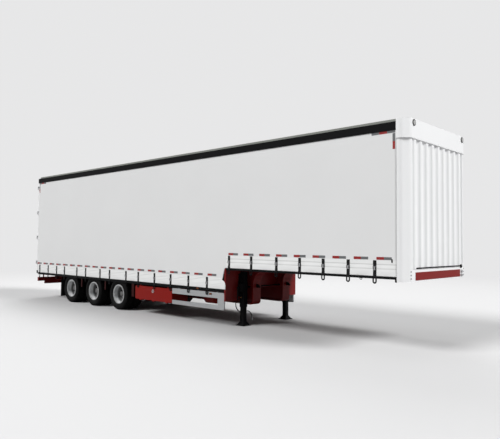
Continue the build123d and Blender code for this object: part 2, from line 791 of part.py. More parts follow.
def hinge_blade(z):
    """Left hinge blade: bored knuckle, blade across the post and a block down to the leaf."""
    z0 = z - HINGE_H / 2
    z1 = z + HINGE_H / 2
    knuckle = rod(HINGE_X, HINGE_Y, z, KNUCKLE_R, HINGE_H, "z")
    blade = block(HINGE_X - BLADE_T / 2, HINGE_X + BLADE_T / 2, HINGE_Y - BLADE_L, HINGE_Y, z0, z1)
    foot = block(HINGE_X, DOOR_FACE, HINGE_Y - BLADE_L, DOOR_EDGE, z0, z1)
    return knuckle + blade + foot - rod(HINGE_X, HINGE_Y, z, PIN_R + BORE_GAP, HINGE_H * 2, "z")


def rear_door():
    """Left leaf with its hinge blades."""
    leaf = block(DOOR_FACE, DOOR_FACE + DOOR_T, DOOR_GAP / 2, DOOR_EDGE, DOOR_BOTTOM, DOOR_TOP)
    for z in HINGE_Z:
        leaf = leaf + hinge_blade(z)
    return leaf


def hinge_lug(z):
    """Left hinge pin held by two lugs on the side of the post."""
    reach = HINGE_H / 2 + HINGE_PLAY
    half = HINGE_LUG_T / 2
    lug = rod(HINGE_X, HINGE_Y, z, PIN_R, 2 * (reach + HINGE_LUG_T), "z")
    for middle in (z + reach + half, z - reach - half):
        arm = block(HINGE_X, FRAME_REAR + HINGE_LUG_L, SIDE, HINGE_Y + PIN_R, middle - half, middle + half)
        lug = lug + arm + rod(HINGE_X, HINGE_Y, middle, KNUCKLE_R, HINGE_LUG_T, "z")
    return lug


def hinge_lugs():
    """All fixed hinge halves on the rear posts."""
    return pairs([hinge_lug(z) for z in HINGE_Z])


def lock_rod(y):
    """Left lock rod with its guides, end cams and handle, lying on the leaf."""
    x = DOOR_FACE - ROD_STAND
    half = GUIDE_W / 2
    low = DOOR_BOTTOM + ROD_SHORT
    high = DOOR_TOP - ROD_SHORT
    bar = rod(x, y, (low + high) / 2, ROD_R, high - low, "z")
    pitch = (high - low - 4 * GUIDE_H) / (GUIDES - 1)
    for i in range(GUIDES):
        z = low + 2 * GUIDE_H + i * pitch
        bar = bar + block(x - ROD_R / 2, DOOR_FACE, y - half, y + half, z - GUIDE_H / 2, z + GUIDE_H / 2)
    for z in (low, high - half):
        bar = bar + block(x, DOOR_FACE - CAM_GAP, y - half, y + ROD_R, z, z + half)
    z = DOOR_BOTTOM + HANDLE_RISE
    handle = block(x - ROD_R / 2, x + ROD_R / 2, y, y + HANDLE_L, z - ROD_R, z + ROD_R)
    return bar + handle


def lock_rods():
    """Two rods on the left leaf."""
    return [lock_rod(DOOR_EDGE * share) for share in ROD_SHARES]


BUMPER_Z = LOWER_RAIL_Z - BUMPER_DROP


def rear_bumper():
    """Lamp bar, lower underrun bar and the plates that hang them from the sill."""
    x0 = REAR + BUMPER_IN
    x1 = x0 + BUMPER_D
    z0 = BUMPER_Z - BUMPER_H
    wide = SIDE - BUMPER_INSET
    low = SIDE - UNDERRUN_INSET
    bar = block(x0, x1, -wide, wide, z0, BUMPER_Z) + block(x0, x1, -low, low, z0 - UNDERRUN_H, z0)
    half = BUMPER_PLATE_T / 2
    outer = SIDE - BUMPER_PLATE_INSET
    for y in (-outer, -BEAM_Y, BEAM_Y, outer):
        bar = bar + block(x0 + half, x1, y - half, y + half, BUMPER_Z - half, LOWER_RAIL_Z)
    return bar


def tail_lamps():
    """Lamp clusters on the back of the bumper."""
    x = REAR + BUMPER_IN
    y = SIDE - BUMPER_INSET - TAIL_LAMP_T
    z = BUMPER_Z - (BUMPER_H - TAIL_LAMP_H) / 2
    return pair(block(x - TAIL_LAMP_T, x, y - TAIL_LAMP_L, y, z - TAIL_LAMP_H, z))


# Top edge, roof and curtains

def cant_rails():
    """Top side rails."""
    return pair(block(FRAME_FRONT, POST_BACK, SIDE - CANT_D, SIDE, CANT_TOP - CANT_H, CANT_TOP))


def pelmets():
    """Black strips that hang over the curtain tops."""
    y = SIDE + PELMET_STAND
    z = CANT_TOP - PELMET_DROP
    low = z - PELMET_HOOK
    points = [
        (SIDE, low), (SIDE, z), (y + PELMET_T, z), (y + PELMET_T, z - PELMET_H), (y, z - PELMET_H), (y, low),
    ]
    return pair(prism_x(points, FRAME_REAR, POST_BACK))


def roof_sheet():
    """Roof skin on the cant rails, with its front corners clipped inside the header."""
    half = SIDE - CANT_D + ROOF_SEAT
    thick = WALL_T + HEADER_PROUD
    clip = CHAMFER - thick + MITRE * thick + CORNER_ROOM
    points = [
        (FRAME_FRONT, -half), (WALL_BACK - clip, -half), (WALL_BACK, -half + clip), (WALL_BACK, half - clip),
        (WALL_BACK - clip, half), (FRAME_FRONT, half),
    ]
    return prism_z(points, CANT_TOP, CANT_TOP + ROOF_T)


def roof_bows():
    """Bows across the roof between the cant rails."""
    half = SIDE - CANT_D
    pitch = (POST_BACK - FRAME_FRONT) / ROOF_BOWS
    stations = [FRAME_FRONT + pitch * (i + 0.5) for i in range(ROOF_BOWS)]
    return [block(x - BOW_W / 2, x + BOW_W / 2, -half, half, CANT_TOP - BOW_H, CANT_TOP) for x in stations]


def curtain():
    """Left curtain, stepped at the bottom like the floor."""
    points = [
        (CURTAIN_REAR, CURTAIN_LOW), (STEP_X, CURTAIN_LOW), (STEP_X, CURTAIN_HIGH),
        (POST_BACK, CURTAIN_HIGH), (POST_BACK, CURTAIN_TOP), (CURTAIN_REAR, CURTAIN_TOP),
    ]
    return prism_y(points, SIDE, CURTAIN_OUT)


def strap_places():
    """Station and rail height of every strap on one side."""
    upper = [(FRONT - d, UPPER_RAIL_Z) for d in UPPER_STRAPS if d < NECK_L - STRAP_MARGIN]
    lower = [(REAR + d, LOWER_RAIL_Z) for d in LOWER_STRAPS if d < LENGTH - NECK_L - STRAP_MARGIN]
    return upper + lower


def link_outline(x, z, w, h, cut):
    """Rectangle with clipped corners."""
    return [
        (x - w + cut, z - h), (x + w - cut, z - h), (x + w, z - h + cut), (x + w, z + h - cut),
        (x + w - cut, z + h), (x - w + cut, z + h), (x - w, z + h - cut), (x - w, z - h + cut),
    ]


def strap(x, rail_z):
    """Left strap down the curtain with the hook link at its end, below the rail."""
    half = STRAP_W / 2
    tail = rail_z + STRAP_TAIL
    band = block(x - half, x + half, CURTAIN_OUT, CURTAIN_OUT + STRAP_T, tail, rail_z + STRAP_RISE)
    z = tail + LINK_WIRE - LINK_H / 2
    clip = LINK_CLIP - LINK_WIRE / 2
    rim = link_outline(x, z, LINK_W / 2, LINK_H / 2, LINK_CLIP)
    eye = link_outline(x, z, LINK_W / 2 - LINK_WIRE, LINK_H / 2 - LINK_WIRE, clip)
    face = CURTAIN_OUT + LINK_T
    return band + (prism_y(rim, CURTAIN_OUT, face) - prism_y(eye, CURTAIN_OUT, face))


def curtain_straps():
    """Every strap on both sides."""
    return pairs([strap(x, z) for x, z in strap_places()])


def curtain_buckles():
    """Lever buckle on each strap."""
    y = CURTAIN_OUT + STRAP_T
    w = BUCKLE_W / 2
    h = BUCKLE_H / 2
    places = [(x, rail_z + STRAP_RISE - BUCKLE_DROP) for x, rail_z in strap_places()]
    return pairs([block(x - w, x + w, y, y + BUCKLE_T, z - h, z + h) for x, z in places])


# Side equipment

BOX_TOP = LOWER_RAIL_Z - BOX_DROP
BOX_BOTTOM = BOX_TOP - BOX_H
BOX_OUT = SIDE - LID_GAP - LID_T - LID_INSET
LID_PIN_Y = BOX_OUT + LID_GAP + LID_T / 2
LID_PIN_Z = BOX_BOTTOM - LID_PIN_DROP
LID_KNUCKLES = [BOX_REAR + BOX_L * share for share in (0.15, 0.5, 0.85)]


def tool_box():
    """Left tool box: open shell, hangers, and the fixed part of the lid hinges."""
    w = BOX_WALL
    back = BOX_OUT - BOX_D
    box = rounded_plate(BOX_REAR, BOX_FRONT, back, BOX_OUT, BOX_BOTTOM, BOX_TOP, BOX_CORNER)
    box = box - rounded_plate(
        BOX_REAR + w, BOX_FRONT - w, back + w, BOX_OUT, BOX_BOTTOM + w, BOX_TOP - w, BOX_CORNER - w
    )
    half = BOX_HANGER_W / 2
    for x in (BOX_REAR + BOX_HANGER_IN, BOX_FRONT - BOX_HANGER_IN):
        box = box + block(x - half, x + half, SIDE - RAIL_LIP, BOX_OUT, BOX_TOP - w / 2, LOWER_RAIL_Z)
    reach = LID_KNUCKLE_L / 2 + HINGE_PLAY
    t = LID_EAR_T / 2
    for x in LID_KNUCKLES:
        box = box + rod(x, LID_PIN_Y, LID_PIN_Z, LID_PIN_R, 2 * (reach + LID_EAR_T), "x")
        for ear in (x - reach - t, x + reach + t):
            low = LID_PIN_Z - LID_KNUCKLE_R
            box = box + block(ear - t, ear + t, BOX_OUT - LID_EAR_L, LID_PIN_Y, low, BOX_BOTTOM + w / 2)
            box = box + rod(ear, LID_PIN_Y, LID_PIN_Z, LID_KNUCKLE_R, LID_EAR_T, "x")
    return box


def tool_box_lid():
    """Left lid with its round latch and bored knuckles below the bottom edge."""
    y0 = BOX_OUT + LID_GAP
    y1 = y0 + LID_T
    lid = rounded_plate(BOX_REAR, BOX_FRONT, y0, y1, BOX_BOTTOM + BOX_WALL / 2, BOX_TOP, BOX_CORNER)
    x = (BOX_REAR + BOX_FRONT) / 2
    z = (BOX_BOTTOM + BOX_TOP) / 2 + LATCH_RISE
    well = LATCH_R - LATCH_RIM
    latch = rod(x, y1, z, LATCH_R, 2 * LATCH_T, "y") - rod(x, y1 + LATCH_T, z, well, LATCH_T, "y")
    lid = lid + latch + block(x - LATCH_RIM, x + LATCH_RIM, y1, y1 + LATCH_T, z - well, z + well)
    half = LID_KNUCKLE_L / 2
    t = LID_TAB_T / 2
    for x in LID_KNUCKLES:
        tab = block(x - half, x + half, LID_PIN_Y - t, LID_PIN_Y + t, LID_PIN_Z, BOX_BOTTOM + LID_TAB_T)
        knuckle = tab + rod(x, LID_PIN_Y, LID_PIN_Z, LID_KNUCKLE_R, LID_KNUCKLE_L, "x")
        bore = rod(x, LID_PIN_Y, LID_PIN_Z, LID_PIN_R + BORE_GAP, 2 * LID_KNUCKLE_L, "x")
        lid = lid + (knuckle - bore)
    return lid


def side_guard():
    """Left side guard: two grooved rails, an upright front end, and posts up to the side rail."""
    y1 = SIDE - LID_INSET
    y0 = y1 - GUARD_T
    z1 = LOWER_RAIL_Z - GUARD_DROP
    z0 = z1 - GUARD_TOP_H - GUARD_OPEN_H - GUARD_LOW_H
    low = z0 + GUARD_LOW_H
    high = z1 - GUARD_TOP_H
    end = GUARD_FRONT - GUARD_END
    g = GUARD_GROOVE
    guard = rounded_plate(GUARD_REAR, GUARD_FRONT, y0, y1, z0, z1, GUARD_CORNER)
    guard = guard - block(GUARD_REAR, end, y0, y1, low, high)
    for z in ((z0 + low) / 2, (high + z1) / 2):
        guard = guard - block(GUARD_REAR, end, y1 - g, y1, z - g, z + g)
    half = GUARD_POST_W / 2
    for share in GUARD_POST_SHARES:
        x = GUARD_REAR + (GUARD_FRONT - GUARD_REAR) * share
        guard = guard + block(x - half, x + half, y0 - GUARD_POST_T, y0, high + g, LOWER_RAIL_Z)
    return guard


def air_tank():
    """Left air reservoir behind the guard, hung from the cross member above its middle."""
    x = min(DECK_STATIONS, key=lambda station: abs(station - (GUARD_FRONT - TANK_BACK)))
    y = SIDE - TANK_IN
    z = LOWER_RAIL_Z - TANK_DROP
    half = TANK_L / 2
    neck = half - TANK_DOME
    brow = half - TANK_DOME / 4
    points = [
        (0, -half), (TANK_R * 0.6, -brow), (TANK_R, -neck), (TANK_R, neck), (TANK_R * 0.6, brow), (0, half),
    ]
    tank = Pos(x, y, z) * Rot(0, 90, 0) * ring_z(points)
    w = TANK_STRAP_W / 2
    t = TANK_STRAP_T / 2
    return tank + block(x - w, x + w, y - t, y + t, z + TANK_R - t, BEAM_TOP)


# Running gear

def tyre_section():
    """Half outline of a tyre from bead to tread, as (offset, radius)."""
    bead = RIM_W / 2 - BEAD_GAP
    seat = RIM_R + BEAD_GAP
    flex = seat + (AXLE_Z - seat) * 0.46
    shoulder = seat + (AXLE_Z - seat) * 0.87
    return [
        (bead, seat), (bead, seat + RIM_LIP + BEAD_GAP), (TYRE_W / 2, flex),
        (TYRE_W / 2 - RIM_LIP_T, shoulder), (TREAD_W / 2, AXLE_Z),
    ]


def twin_tyres():
    """Left pair of tyres about the origin."""
    half = tyre_section()
    ring = ring_y(half + [(-y, r) for y, r in reversed(half)])
    return [Pos(0, TWIN_Y + s * DUAL_SPACING / 2, 0) * ring for s in (-1, 1)]


def twin_rims():
    """Left pair of deep-dished rims back to back, with hub and drum, one turned solid about the origin."""
    mid = DUAL_SPACING / 2
    bead = RIM_W / 2
    lip = bead + RIM_LIP_T
    top = RIM_R + RIM_LIP
    barrel = RIM_R - RIM_WALL
    bore = SPINDLE_R + BORE_GAP
    disc = DISC_T / 2
    foot = barrel - RIM_DISH
    shoe = DRUM_R - DRUM_T
    sleeve = DRUM_L + disc
    cap = HUB_CAP_L - HUB_CAP_T
    crown = [
        (mid + lip, barrel), (mid + lip, top), (mid + bead, top), (mid + bead, RIM_R), (mid - bead, RIM_R),
        (mid - bead, top), (mid - lip, top), (mid - lip, barrel), (mid * 0.48, barrel),
    ]
    hub = [
        (-mid * 0.6, barrel), (-disc, foot), (-disc, DRUM_R), (-DRUM_L, DRUM_R), (-DRUM_L, shoe),
        (-disc - DRUM_T, shoe), (-disc - DRUM_T, HUB_CAP_R), (-sleeve, HUB_CAP_R), (-sleeve, bore),
        (cap, bore), (cap, 0), (HUB_CAP_L, 0), (HUB_CAP_L, HUB_CAP_R * 0.58),
        (HUB_CAP_L - disc, HUB_CAP_R * 0.9), (2 * DISC_T, HUB_CAP_R), (DISC_T, HUB_R), (disc, HUB_R),
        (disc, foot), (mid * 0.6, barrel),
    ]
    rims = ring_y(crown + [(0, foot + disc / 4)] + [(-y, r) for y, r in reversed(crown)] + hub)
    middle = (foot + barrel) / 2
    for i in range(HAND_HOLES):
        a = math.radians(360 * (i + 0.5) / HAND_HOLES)
        rims = rims - rod(middle * math.cos(a), 0, middle * math.sin(a), HAND_HOLE_R, 1.6 * mid, "y")
    return Pos(0, TWIN_Y, 0) * rims


def axles():
    """Square axle beams with their round spindles."""
    h = AXLE_SQUARE / 2
    shoulder = TWIN_Y - DRUM_L - h / 2
    tip = TWIN_Y + HUB_CAP_L - HUB_CAP_T - HINGE_PLAY
    pieces = []
    for x in AXLES_X:
        beam = block(x - h, x + h, -shoulder, shoulder, AXLE_Z - h, AXLE_Z + h)
        pieces.append(beam + rod(x, 0, AXLE_Z, SPINDLE_R, 2 * tip, "y"))
    return pieces


ARM_TOP = AXLE_Z - AXLE_SQUARE / 2
PIVOT_Z = ARM_TOP - PIVOT_DROP


def suspension_hangers():
    """Slotted hanger under the beam ahead of each axle, with its pivot bolt."""
    low = PIVOT_Z - HANGER_LOW
    slot = HANGER_SLOT / 2
    pieces = []
    for a in AXLES_X:
        x = a + PIVOT_AHEAD
        points = [
            (x - HANGER_TOP, BEAM_BOTTOM), (x - HANGER_LOW, low),
            (x + HANGER_LOW, low), (x + HANGER_TOP, BEAM_BOTTOM),
        ]
        body = prism_y(points, BEAM_Y - HANGER_W / 2, BEAM_Y + HANGER_W / 2)
        x0 = x - HANGER_TOP
        x1 = x + HANGER_TOP
        body = body - block(x0, x1, BEAM_Y - slot, BEAM_Y + slot, low, PIVOT_Z + HANGER_TOP)
        pieces.append(body + rod(x, BEAM_Y, PIVOT_Z, PIVOT_R, HANGER_W + PIVOT_R, "y"))
    return pairs(pieces)


def trailing_arms():
    """Arm from the pivot, under the axle, to the seat of the air spring."""
    seat = ARM_TOP - ARM_STEP
    low = ARM_TOP - ARM_DEPTH
    pieces = []
    for a in AXLES_X:
        x = a + PIVOT_AHEAD
        tip = a - BAG_BEHIND - ARM_SEAT
        points = [
            (x, PIVOT_Z - ARM_DEPTH / 2), (x, PIVOT_Z + ARM_DEPTH / 2),
            (a + ARM_SEAT, ARM_TOP), (a - ARM_SEAT, ARM_TOP), (a - ARM_BEND, seat), (tip, seat),
            (tip, low + ARM_STEP), (a - ARM_BEND, low), (a + ARM_SEAT, low),
        ]
        arm = prism_y(points, BEAM_Y - ARM_W / 2, BEAM_Y + ARM_W / 2)
        arm = arm + rod(x, BEAM_Y, PIVOT_Z, ARM_EYE_R, ARM_W, "y")
        pieces.append(arm - rod(x, BEAM_Y, PIVOT_Z, PIVOT_R + BEAD_GAP, 2 * ARM_W, "y"))
    return pairs(pieces)


def air_springs():
    """Rolling-lobe air spring between each arm and the beam."""
    low = ARM_TOP - ARM_STEP
    height = BEAM_BOTTOM - low
    points = [
        (0, 0), (BAG_PISTON_R, 0), (BAG_PISTON_R, height * 0.34), (BAG_R * 0.93, height * 0.4),
        (BAG_R, height * 0.52), (BAG_R, height * 0.8), (BAG_R * 0.86, height * 0.93), (BAG_R * 0.8, height),
        (0, height),
    ]
    return pairs([Pos(a - BAG_BEHIND, BEAM_Y, low) * ring_z(points) for a in AXLES_X])


def brake_chambers():
    """Brake chamber on the front of each axle."""
    x = (AXLE_SQUARE + CHAMBER_L) / 2
    return pairs([rod(a + x, BEAM_Y - CHAMBER_IN, AXLE_Z, CHAMBER_R, CHAMBER_L, "x") for a in AXLES_X])


def mudguard_stays():
    """Flat stays between the wheels and a broad one ahead of them, hung from the rail's lip."""
    y = SIDE - STAY_INSET
    places = [(a - AXLE_PITCH / 2, STAY_W, STAY_DROP) for a in AXLES_X[:2]]
    places.append((BOX_REAR - FRONT_STAY_GAP - FRONT_STAY_W / 2, FRONT_STAY_W, FRONT_STAY_DROP))
    stays = []
    for x, wide, drop in places:
        stays.append(block(x - wide / 2, x + wide / 2, y - STAY_T, y, LOWER_RAIL_Z - drop, LOWER_RAIL_Z))
    return pairs(stays)


FLAP_X = LAST_AXLE - FLAP_BEHIND
FLAP_OUT = SIDE - LID_INSET


def mudflaps():
    """Rubber flap behind the last wheels."""
    top = LOWER_RAIL_Z - FLAP_BAR_H / 2
    return pair(block(FLAP_X - FLAP_T, FLAP_X, TYRE_INNER_Y + FLAP_IN, FLAP_OUT, FLAP_CLEAR, top))


def flap_bars():
    """Angle that carries each flap from the side rail."""
    z = LOWER_RAIL_Z
    upright = block(FLAP_X, FLAP_X + FLAP_T, TYRE_INNER_Y, FLAP_OUT, z - FLAP_BAR_H, z)
    return pair(upright + block(FLAP_X, FLAP_X + FLAP_BAR_W, TYRE_INNER_Y, FLAP_OUT, z - FLAP_T, z))


def save(name, pieces):
    """One file for a node, from one solid or a list of them."""
    shapes = pieces if isinstance(pieces, list) else [pieces]
    solids = [solid for shape in shapes for solid in shape.solids()]
    export_step(Compound(solids), f"parts/{name}.step")


os.makedirs("parts", exist_ok=True)

save("main_beams", BEAMS)
save("deck_cross_members", deck_cross_members())
save("neck_cross_members", neck_cross_members())
save("step_riser", step_riser())
save("side_rails", side_rails())
save("upper_floor", upper_floor())
save("lower_floor", lower_floor())
save("coupler_plate", coupler_plate())
save("kingpin", kingpin())
save("landing_legs", pair(landing_leg()))
save("landing_feet", pair(landing_foot()))
save("landing_drive", [landing_crank(), landing_shaft()] + pair(knee_bracket()))
save("air_hose", air_hose())
save("front_wall", front_wall())
save("corner_posts", pair(corner_post()))
save("front_header", front_header())
save("front_sill", front_sill())
save("front_panel", front_panel())
save("front_couplings", front_couplings())
save("marker_lamps", marker_lamps())
save("rear_frame", rear_frame())
save("hinge_lugs", hinge_lugs())
save("rear_door_left", rear_door())
save("rear_door_right", other_side(rear_door()))
save("lock_rods_left", lock_rods())
save("lock_rods_right", [other_side(bar) for bar in lock_rods()])
save("rear_bumper", rear_bumper())
save("tail_lamps", tail_lamps())
save("cant_rails", cant_rails())
save("pelmets", pelmets())
save("roof_sheet", roof_sheet())
save("roof_bows", roof_bows())
save("curtain_left", curtain())
save("curtain_right", other_side(curtain()))
save("curtain_straps", curtain_straps())
save("curtain_buckles", curtain_buckles())
save("tool_boxes", pair(tool_box()))
save("tool_box_lid_left", tool_box_lid())
save("tool_box_lid_right", other_side(tool_box_lid()))
save("side_guards", pair(side_guard()))
save("air_tanks", pair(air_tank()))
save("axles", axles())
save("suspension_hangers", suspension_hangers())
save("trailing_arms", trailing_arms())
save("air_springs", air_springs())
save("brake_chambers", brake_chambers())
save("mudguard_brackets", mudguard_stays() + flap_bars())
save("mudflaps", mudflaps())

LEFT_TYRES = twin_tyres()
LEFT_RIMS = twin_rims()
for number, axle_x in enumerate(AXLES_X, 1):
    place = Pos(axle_x, 0, AXLE_Z)
    save(f"tyres_{number}_left", [place * tyre for tyre in LEFT_TYRES])
    save(f"tyres_{number}_right", [place * other_side(tyre) for tyre in LEFT_TYRES])
    save(f"rims_{number}_left", place * LEFT_RIMS)
    save(f"rims_{number}_right", place * other_side(LEFT_RIMS))
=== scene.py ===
import json
import math

import bmesh
import bpy
from mathutils import Euler, Matrix, Vector, noise

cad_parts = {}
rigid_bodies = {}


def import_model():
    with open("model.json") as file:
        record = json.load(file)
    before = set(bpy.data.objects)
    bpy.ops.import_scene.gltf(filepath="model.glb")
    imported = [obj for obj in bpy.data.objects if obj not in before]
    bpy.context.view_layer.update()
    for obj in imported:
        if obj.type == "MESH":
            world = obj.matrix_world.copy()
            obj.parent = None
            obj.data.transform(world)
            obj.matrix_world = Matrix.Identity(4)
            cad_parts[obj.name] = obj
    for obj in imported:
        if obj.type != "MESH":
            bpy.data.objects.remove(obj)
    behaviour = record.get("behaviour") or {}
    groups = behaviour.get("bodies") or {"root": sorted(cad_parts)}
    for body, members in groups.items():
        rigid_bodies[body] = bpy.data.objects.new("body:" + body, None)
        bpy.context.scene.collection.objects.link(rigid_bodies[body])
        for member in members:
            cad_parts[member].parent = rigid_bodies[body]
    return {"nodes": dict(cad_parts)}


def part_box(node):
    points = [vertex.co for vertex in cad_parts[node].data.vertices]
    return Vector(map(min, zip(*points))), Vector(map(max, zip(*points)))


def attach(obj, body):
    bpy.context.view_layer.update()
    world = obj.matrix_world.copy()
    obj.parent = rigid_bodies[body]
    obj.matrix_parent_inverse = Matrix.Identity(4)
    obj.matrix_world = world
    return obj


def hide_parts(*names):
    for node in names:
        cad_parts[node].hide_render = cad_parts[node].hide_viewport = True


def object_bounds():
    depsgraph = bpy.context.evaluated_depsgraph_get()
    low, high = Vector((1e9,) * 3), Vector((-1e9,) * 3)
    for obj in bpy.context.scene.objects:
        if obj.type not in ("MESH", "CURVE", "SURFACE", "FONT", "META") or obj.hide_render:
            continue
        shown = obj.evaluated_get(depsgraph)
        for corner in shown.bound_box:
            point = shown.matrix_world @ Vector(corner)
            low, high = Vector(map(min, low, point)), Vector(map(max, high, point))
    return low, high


bl_info = {
    "name": "Drop-deck curtain trailer",
    "version": (1, 0, 0),
    "blender": (4, 5, 0),
    "location": "View3D > Sidebar > Trailer",
    "description": "Dresses a drop-deck curtain-sided semi trailer: cloth, tapes, tyres, fasteners and paint",
    "category": "Object",
}

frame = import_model()
CAD_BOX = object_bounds()
NODES = frame["nodes"]
TRAILER = "trailer"
SIDES = (("right", -1), ("left", 1))

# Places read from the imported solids, in metres
CURTAIN_LO, CURTAIN_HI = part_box("curtain_left")
RAIL_LO, RAIL_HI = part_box("side_rails")
HEADER_LO, HEADER_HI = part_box("front_header")
WALL_LO, WALL_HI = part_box("front_wall")
POST_LO, POST_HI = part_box("corner_posts")
GUARD_LO, GUARD_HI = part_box("side_guards")
BOX_LO, BOX_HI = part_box("tool_boxes")
LEG_LO, LEG_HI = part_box("landing_legs")
DOOR_LO, DOOR_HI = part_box("rear_door_left")
MARKER_LO, MARKER_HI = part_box("marker_lamps")
SILL_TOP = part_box("front_sill")[1].z
REAR_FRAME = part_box("rear_frame")[0]
PELMET_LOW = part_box("pelmets")[0].z
BUCKLE_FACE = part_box("curtain_buckles")[1].y
LAMP_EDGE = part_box("tail_lamps")[1].y
SIDE = RAIL_HI.y
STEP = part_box("step_riser")[1].x
FRONT = CAD_BOX[1].x
CLOTH_FACE = CURTAIN_HI.y
LOWER_HEM = CURTAIN_LO.z
TYRE_LO, TYRE_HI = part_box("tyres_1_left")
AXLE_Z = TYRE_HI.z / 2
TWIN_Y = (TYRE_LO.y + TYRE_HI.y) / 2
AXLES = [(low.x + high.x) / 2 for low, high in (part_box(f"rims_{i}_left") for i in (1, 2, 3))]


def corners_of(node):
    """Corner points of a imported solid."""
    turn = NODES[node].matrix_world
    return [turn @ vert.co for vert in NODES[node].data.vertices]


def middles_along(node, apart):
    """Middles of a row of like pieces on the right-hand side, split where the gap along X is wide."""
    points = sorted((p for p in corners_of(node) if p.y < 0), key=lambda p: p.x)
    rows = [[points[0]]]
    for p in points[1:]:
        if p.x - rows[-1][-1].x > apart:
            rows.append([])
        rows[-1].append(p)
    return [Vector([(min(axis) + max(axis)) / 2 for axis in zip(*row)]) for row in rows]


UPPER_HEM = min(p.z for p in corners_of("curtain_left") if p.x > STEP + 0.01)
BUCKLES = middles_along("curtain_buckles", 0.1)
UPPER_STRAPS = [p.x for p in BUCKLES if p.x > STEP]
LOWER_STRAPS = [p.x for p in BUCKLES if p.x < STEP]


def length(name, description, value, high=1.0):
    """A length setting with its default, in metres."""
    return bpy.props.FloatProperty(
        name=name, description=description, default=value, min=0, max=high, unit="LENGTH")


def colour(name, description, value):
    """A colour setting with its default."""
    return bpy.props.FloatVectorProperty(
        name=name, description=description, default=value, size=3, min=0, max=1, subtype="COLOR")


class TrailerSizes(bpy.types.PropertyGroup):
    """Sizes of the cloth, tapes, tyres and fasteners."""
    bulge: length("Skirt bulge", "How far the curtain's skirt swells between two straps", 0.011, 0.02)
    ripple: length("Curtain ripple", "Height of the slow waves over the curtain", 0.0035, 0.01)
    cloth: length("Cloth", "Thickness of the coated curtain cloth", 0.002, 0.004)
    tape_length: length("Tape length", "Length of one two-colour reflective tape", 0.30)
    tape_height: length("Tape height", "Height of the reflective tape", 0.05)
    tape_pitch: length("Tape pitch", "Distance from one upper tape to the next", 0.466)
    groove: length("Tread groove", "Depth of the grooves round a tyre", 0.012)
    lugs: bpy.props.IntProperty(
        name="Shoulder lugs", description="Notches round each shoulder of a tyre", default=54, min=20, max=80)
    nuts: bpy.props.IntProperty(
        name="Wheel nuts", description="Nuts on each wheel", default=10, min=6, max=12)
    nut_circle: length("Nut circle", "Radius of the ring of wheel nuts", 0.1675)
    nut: length("Wheel nut", "Radius of a wheel nut over its corners", 0.0185)
    rivet: length("Rivet", "Radius of a rivet head", 0.006)
    bolt: length("Bolt", "Radius of a bolt head over its corners", 0.013)


class TrailerColours(bpy.types.PropertyGroup):
    """Colours of the finishes."""
    white: colour("White panel", "Paint of the front wall, posts and rear frame", (0.84, 0.845, 0.85))
    # The chassis red is darker than the box red: painted shade for the chassis under the trailer
    red: colour("Chassis red", "Paint of the beams and cross members", (0.16, 0.006, 0.006))
    box_red: colour("Box red", "Brighter paint of the tool boxes and tanks", (0.215, 0.007, 0.004))
    sign: colour("Panel red", "Plain panel on the front sill", (0.19, 0.008, 0.007))
    black: colour("Black paint", "Rails and landing gear", (0.005, 0.005, 0.0055))
    curtain: colour("Curtain", "Coated cloth of the sides", (0.745, 0.748, 0.748))
    skirt: colour("Skirt", "Brighter cloth of the skirts below the tapes", (0.82, 0.825, 0.82))
    silver: colour("Wheel silver", "Paint of the rims", (0.84, 0.85, 0.86))
    rubber: colour("Tyre rubber", "Rubber of the tyres", (0.0045, 0.0045, 0.0048))
    # This dust colour is also the colour of the painted shade on the white paint's upper faces
    dust_and_shade: colour("Road dust", "Dust that settles low on the trailer", (0.20, 0.185, 0.17))
    tape_red: colour("Tape red", "Red half of a tape", (0.28, 0.012, 0.012))
    tape_grey: colour("Tape silver", "Silver half of a tape", (0.13, 0.135, 0.14))
    floor: colour("Floor", "Studio floor and backdrop", (0.80, 0.80, 0.805))


def sizes():
    return bpy.context.scene.trailer_sizes


def colours():
    return bpy.context.scene.trailer_colours


# Nodes

def give(tree, socket, value):
    """Sets an input to a value, or links it to an output or to a list of outputs."""
    if isinstance(value, bpy.types.NodeSocket):
        tree.links.new(value, socket)
    elif isinstance(value, list):
        for output in value:
            tree.links.new(output, socket)
    elif value is not None:
        socket.default_value = (*value, 1) if socket.type == "RGBA" else value


def put(tree, kind, *feeds, **named):
    """Outputs of a new node, whose inputs are fed in order or by name and whose own settings are named."""
    node = tree.nodes.new(kind)
    for socket, value in zip(node.inputs, feeds):
        give(tree, socket, value)
    for key, value in named.items():
        if hasattr(node, key):
            setattr(node, key, value)
        else:
            give(tree, node.inputs[key.replace("_", " ")], value)
    return node.outputs


def maths(tree, operation, *feeds):
    return put(tree, "ShaderNodeMath", *feeds, operation=operation)[0]


def vectors(tree, operation, *feeds):
    return put(tree, "ShaderNodeVectorMath", *feeds, operation=operation)


def spread(tree, value, low, high, start=0.0, stop=1.0, soft=False):
    """A value between start and stop put between low and high, eased at both ends if soft."""
    curve = "SMOOTHSTEP" if soft else "LINEAR"
    return put(tree, "ShaderNodeMapRange", value, start, stop, low, high, interpolation_type=curve)["Result"]


def spot_of(tree):
    """Object coordinates."""
    return put(tree, "ShaderNodeTexCoord")["Object"]


def axes_of(tree, vector):
    """X, Y and Z of a vector."""
    return put(tree, "ShaderNodeSeparateXYZ", vector)


def mixed(tree, mask, under, over, blend="MIX"):
    """One colour laid over another by a mask."""
    unused = [None] * 5
    return put(tree, "ShaderNodeMix", mask, *unused, under, over, data_type="RGBA", blend_type=blend)[2]


def tinted(tree, base, shade):
    """A colour multiplied by a shade."""
    return mixed(tree, 1, base, shade, "MULTIPLY")


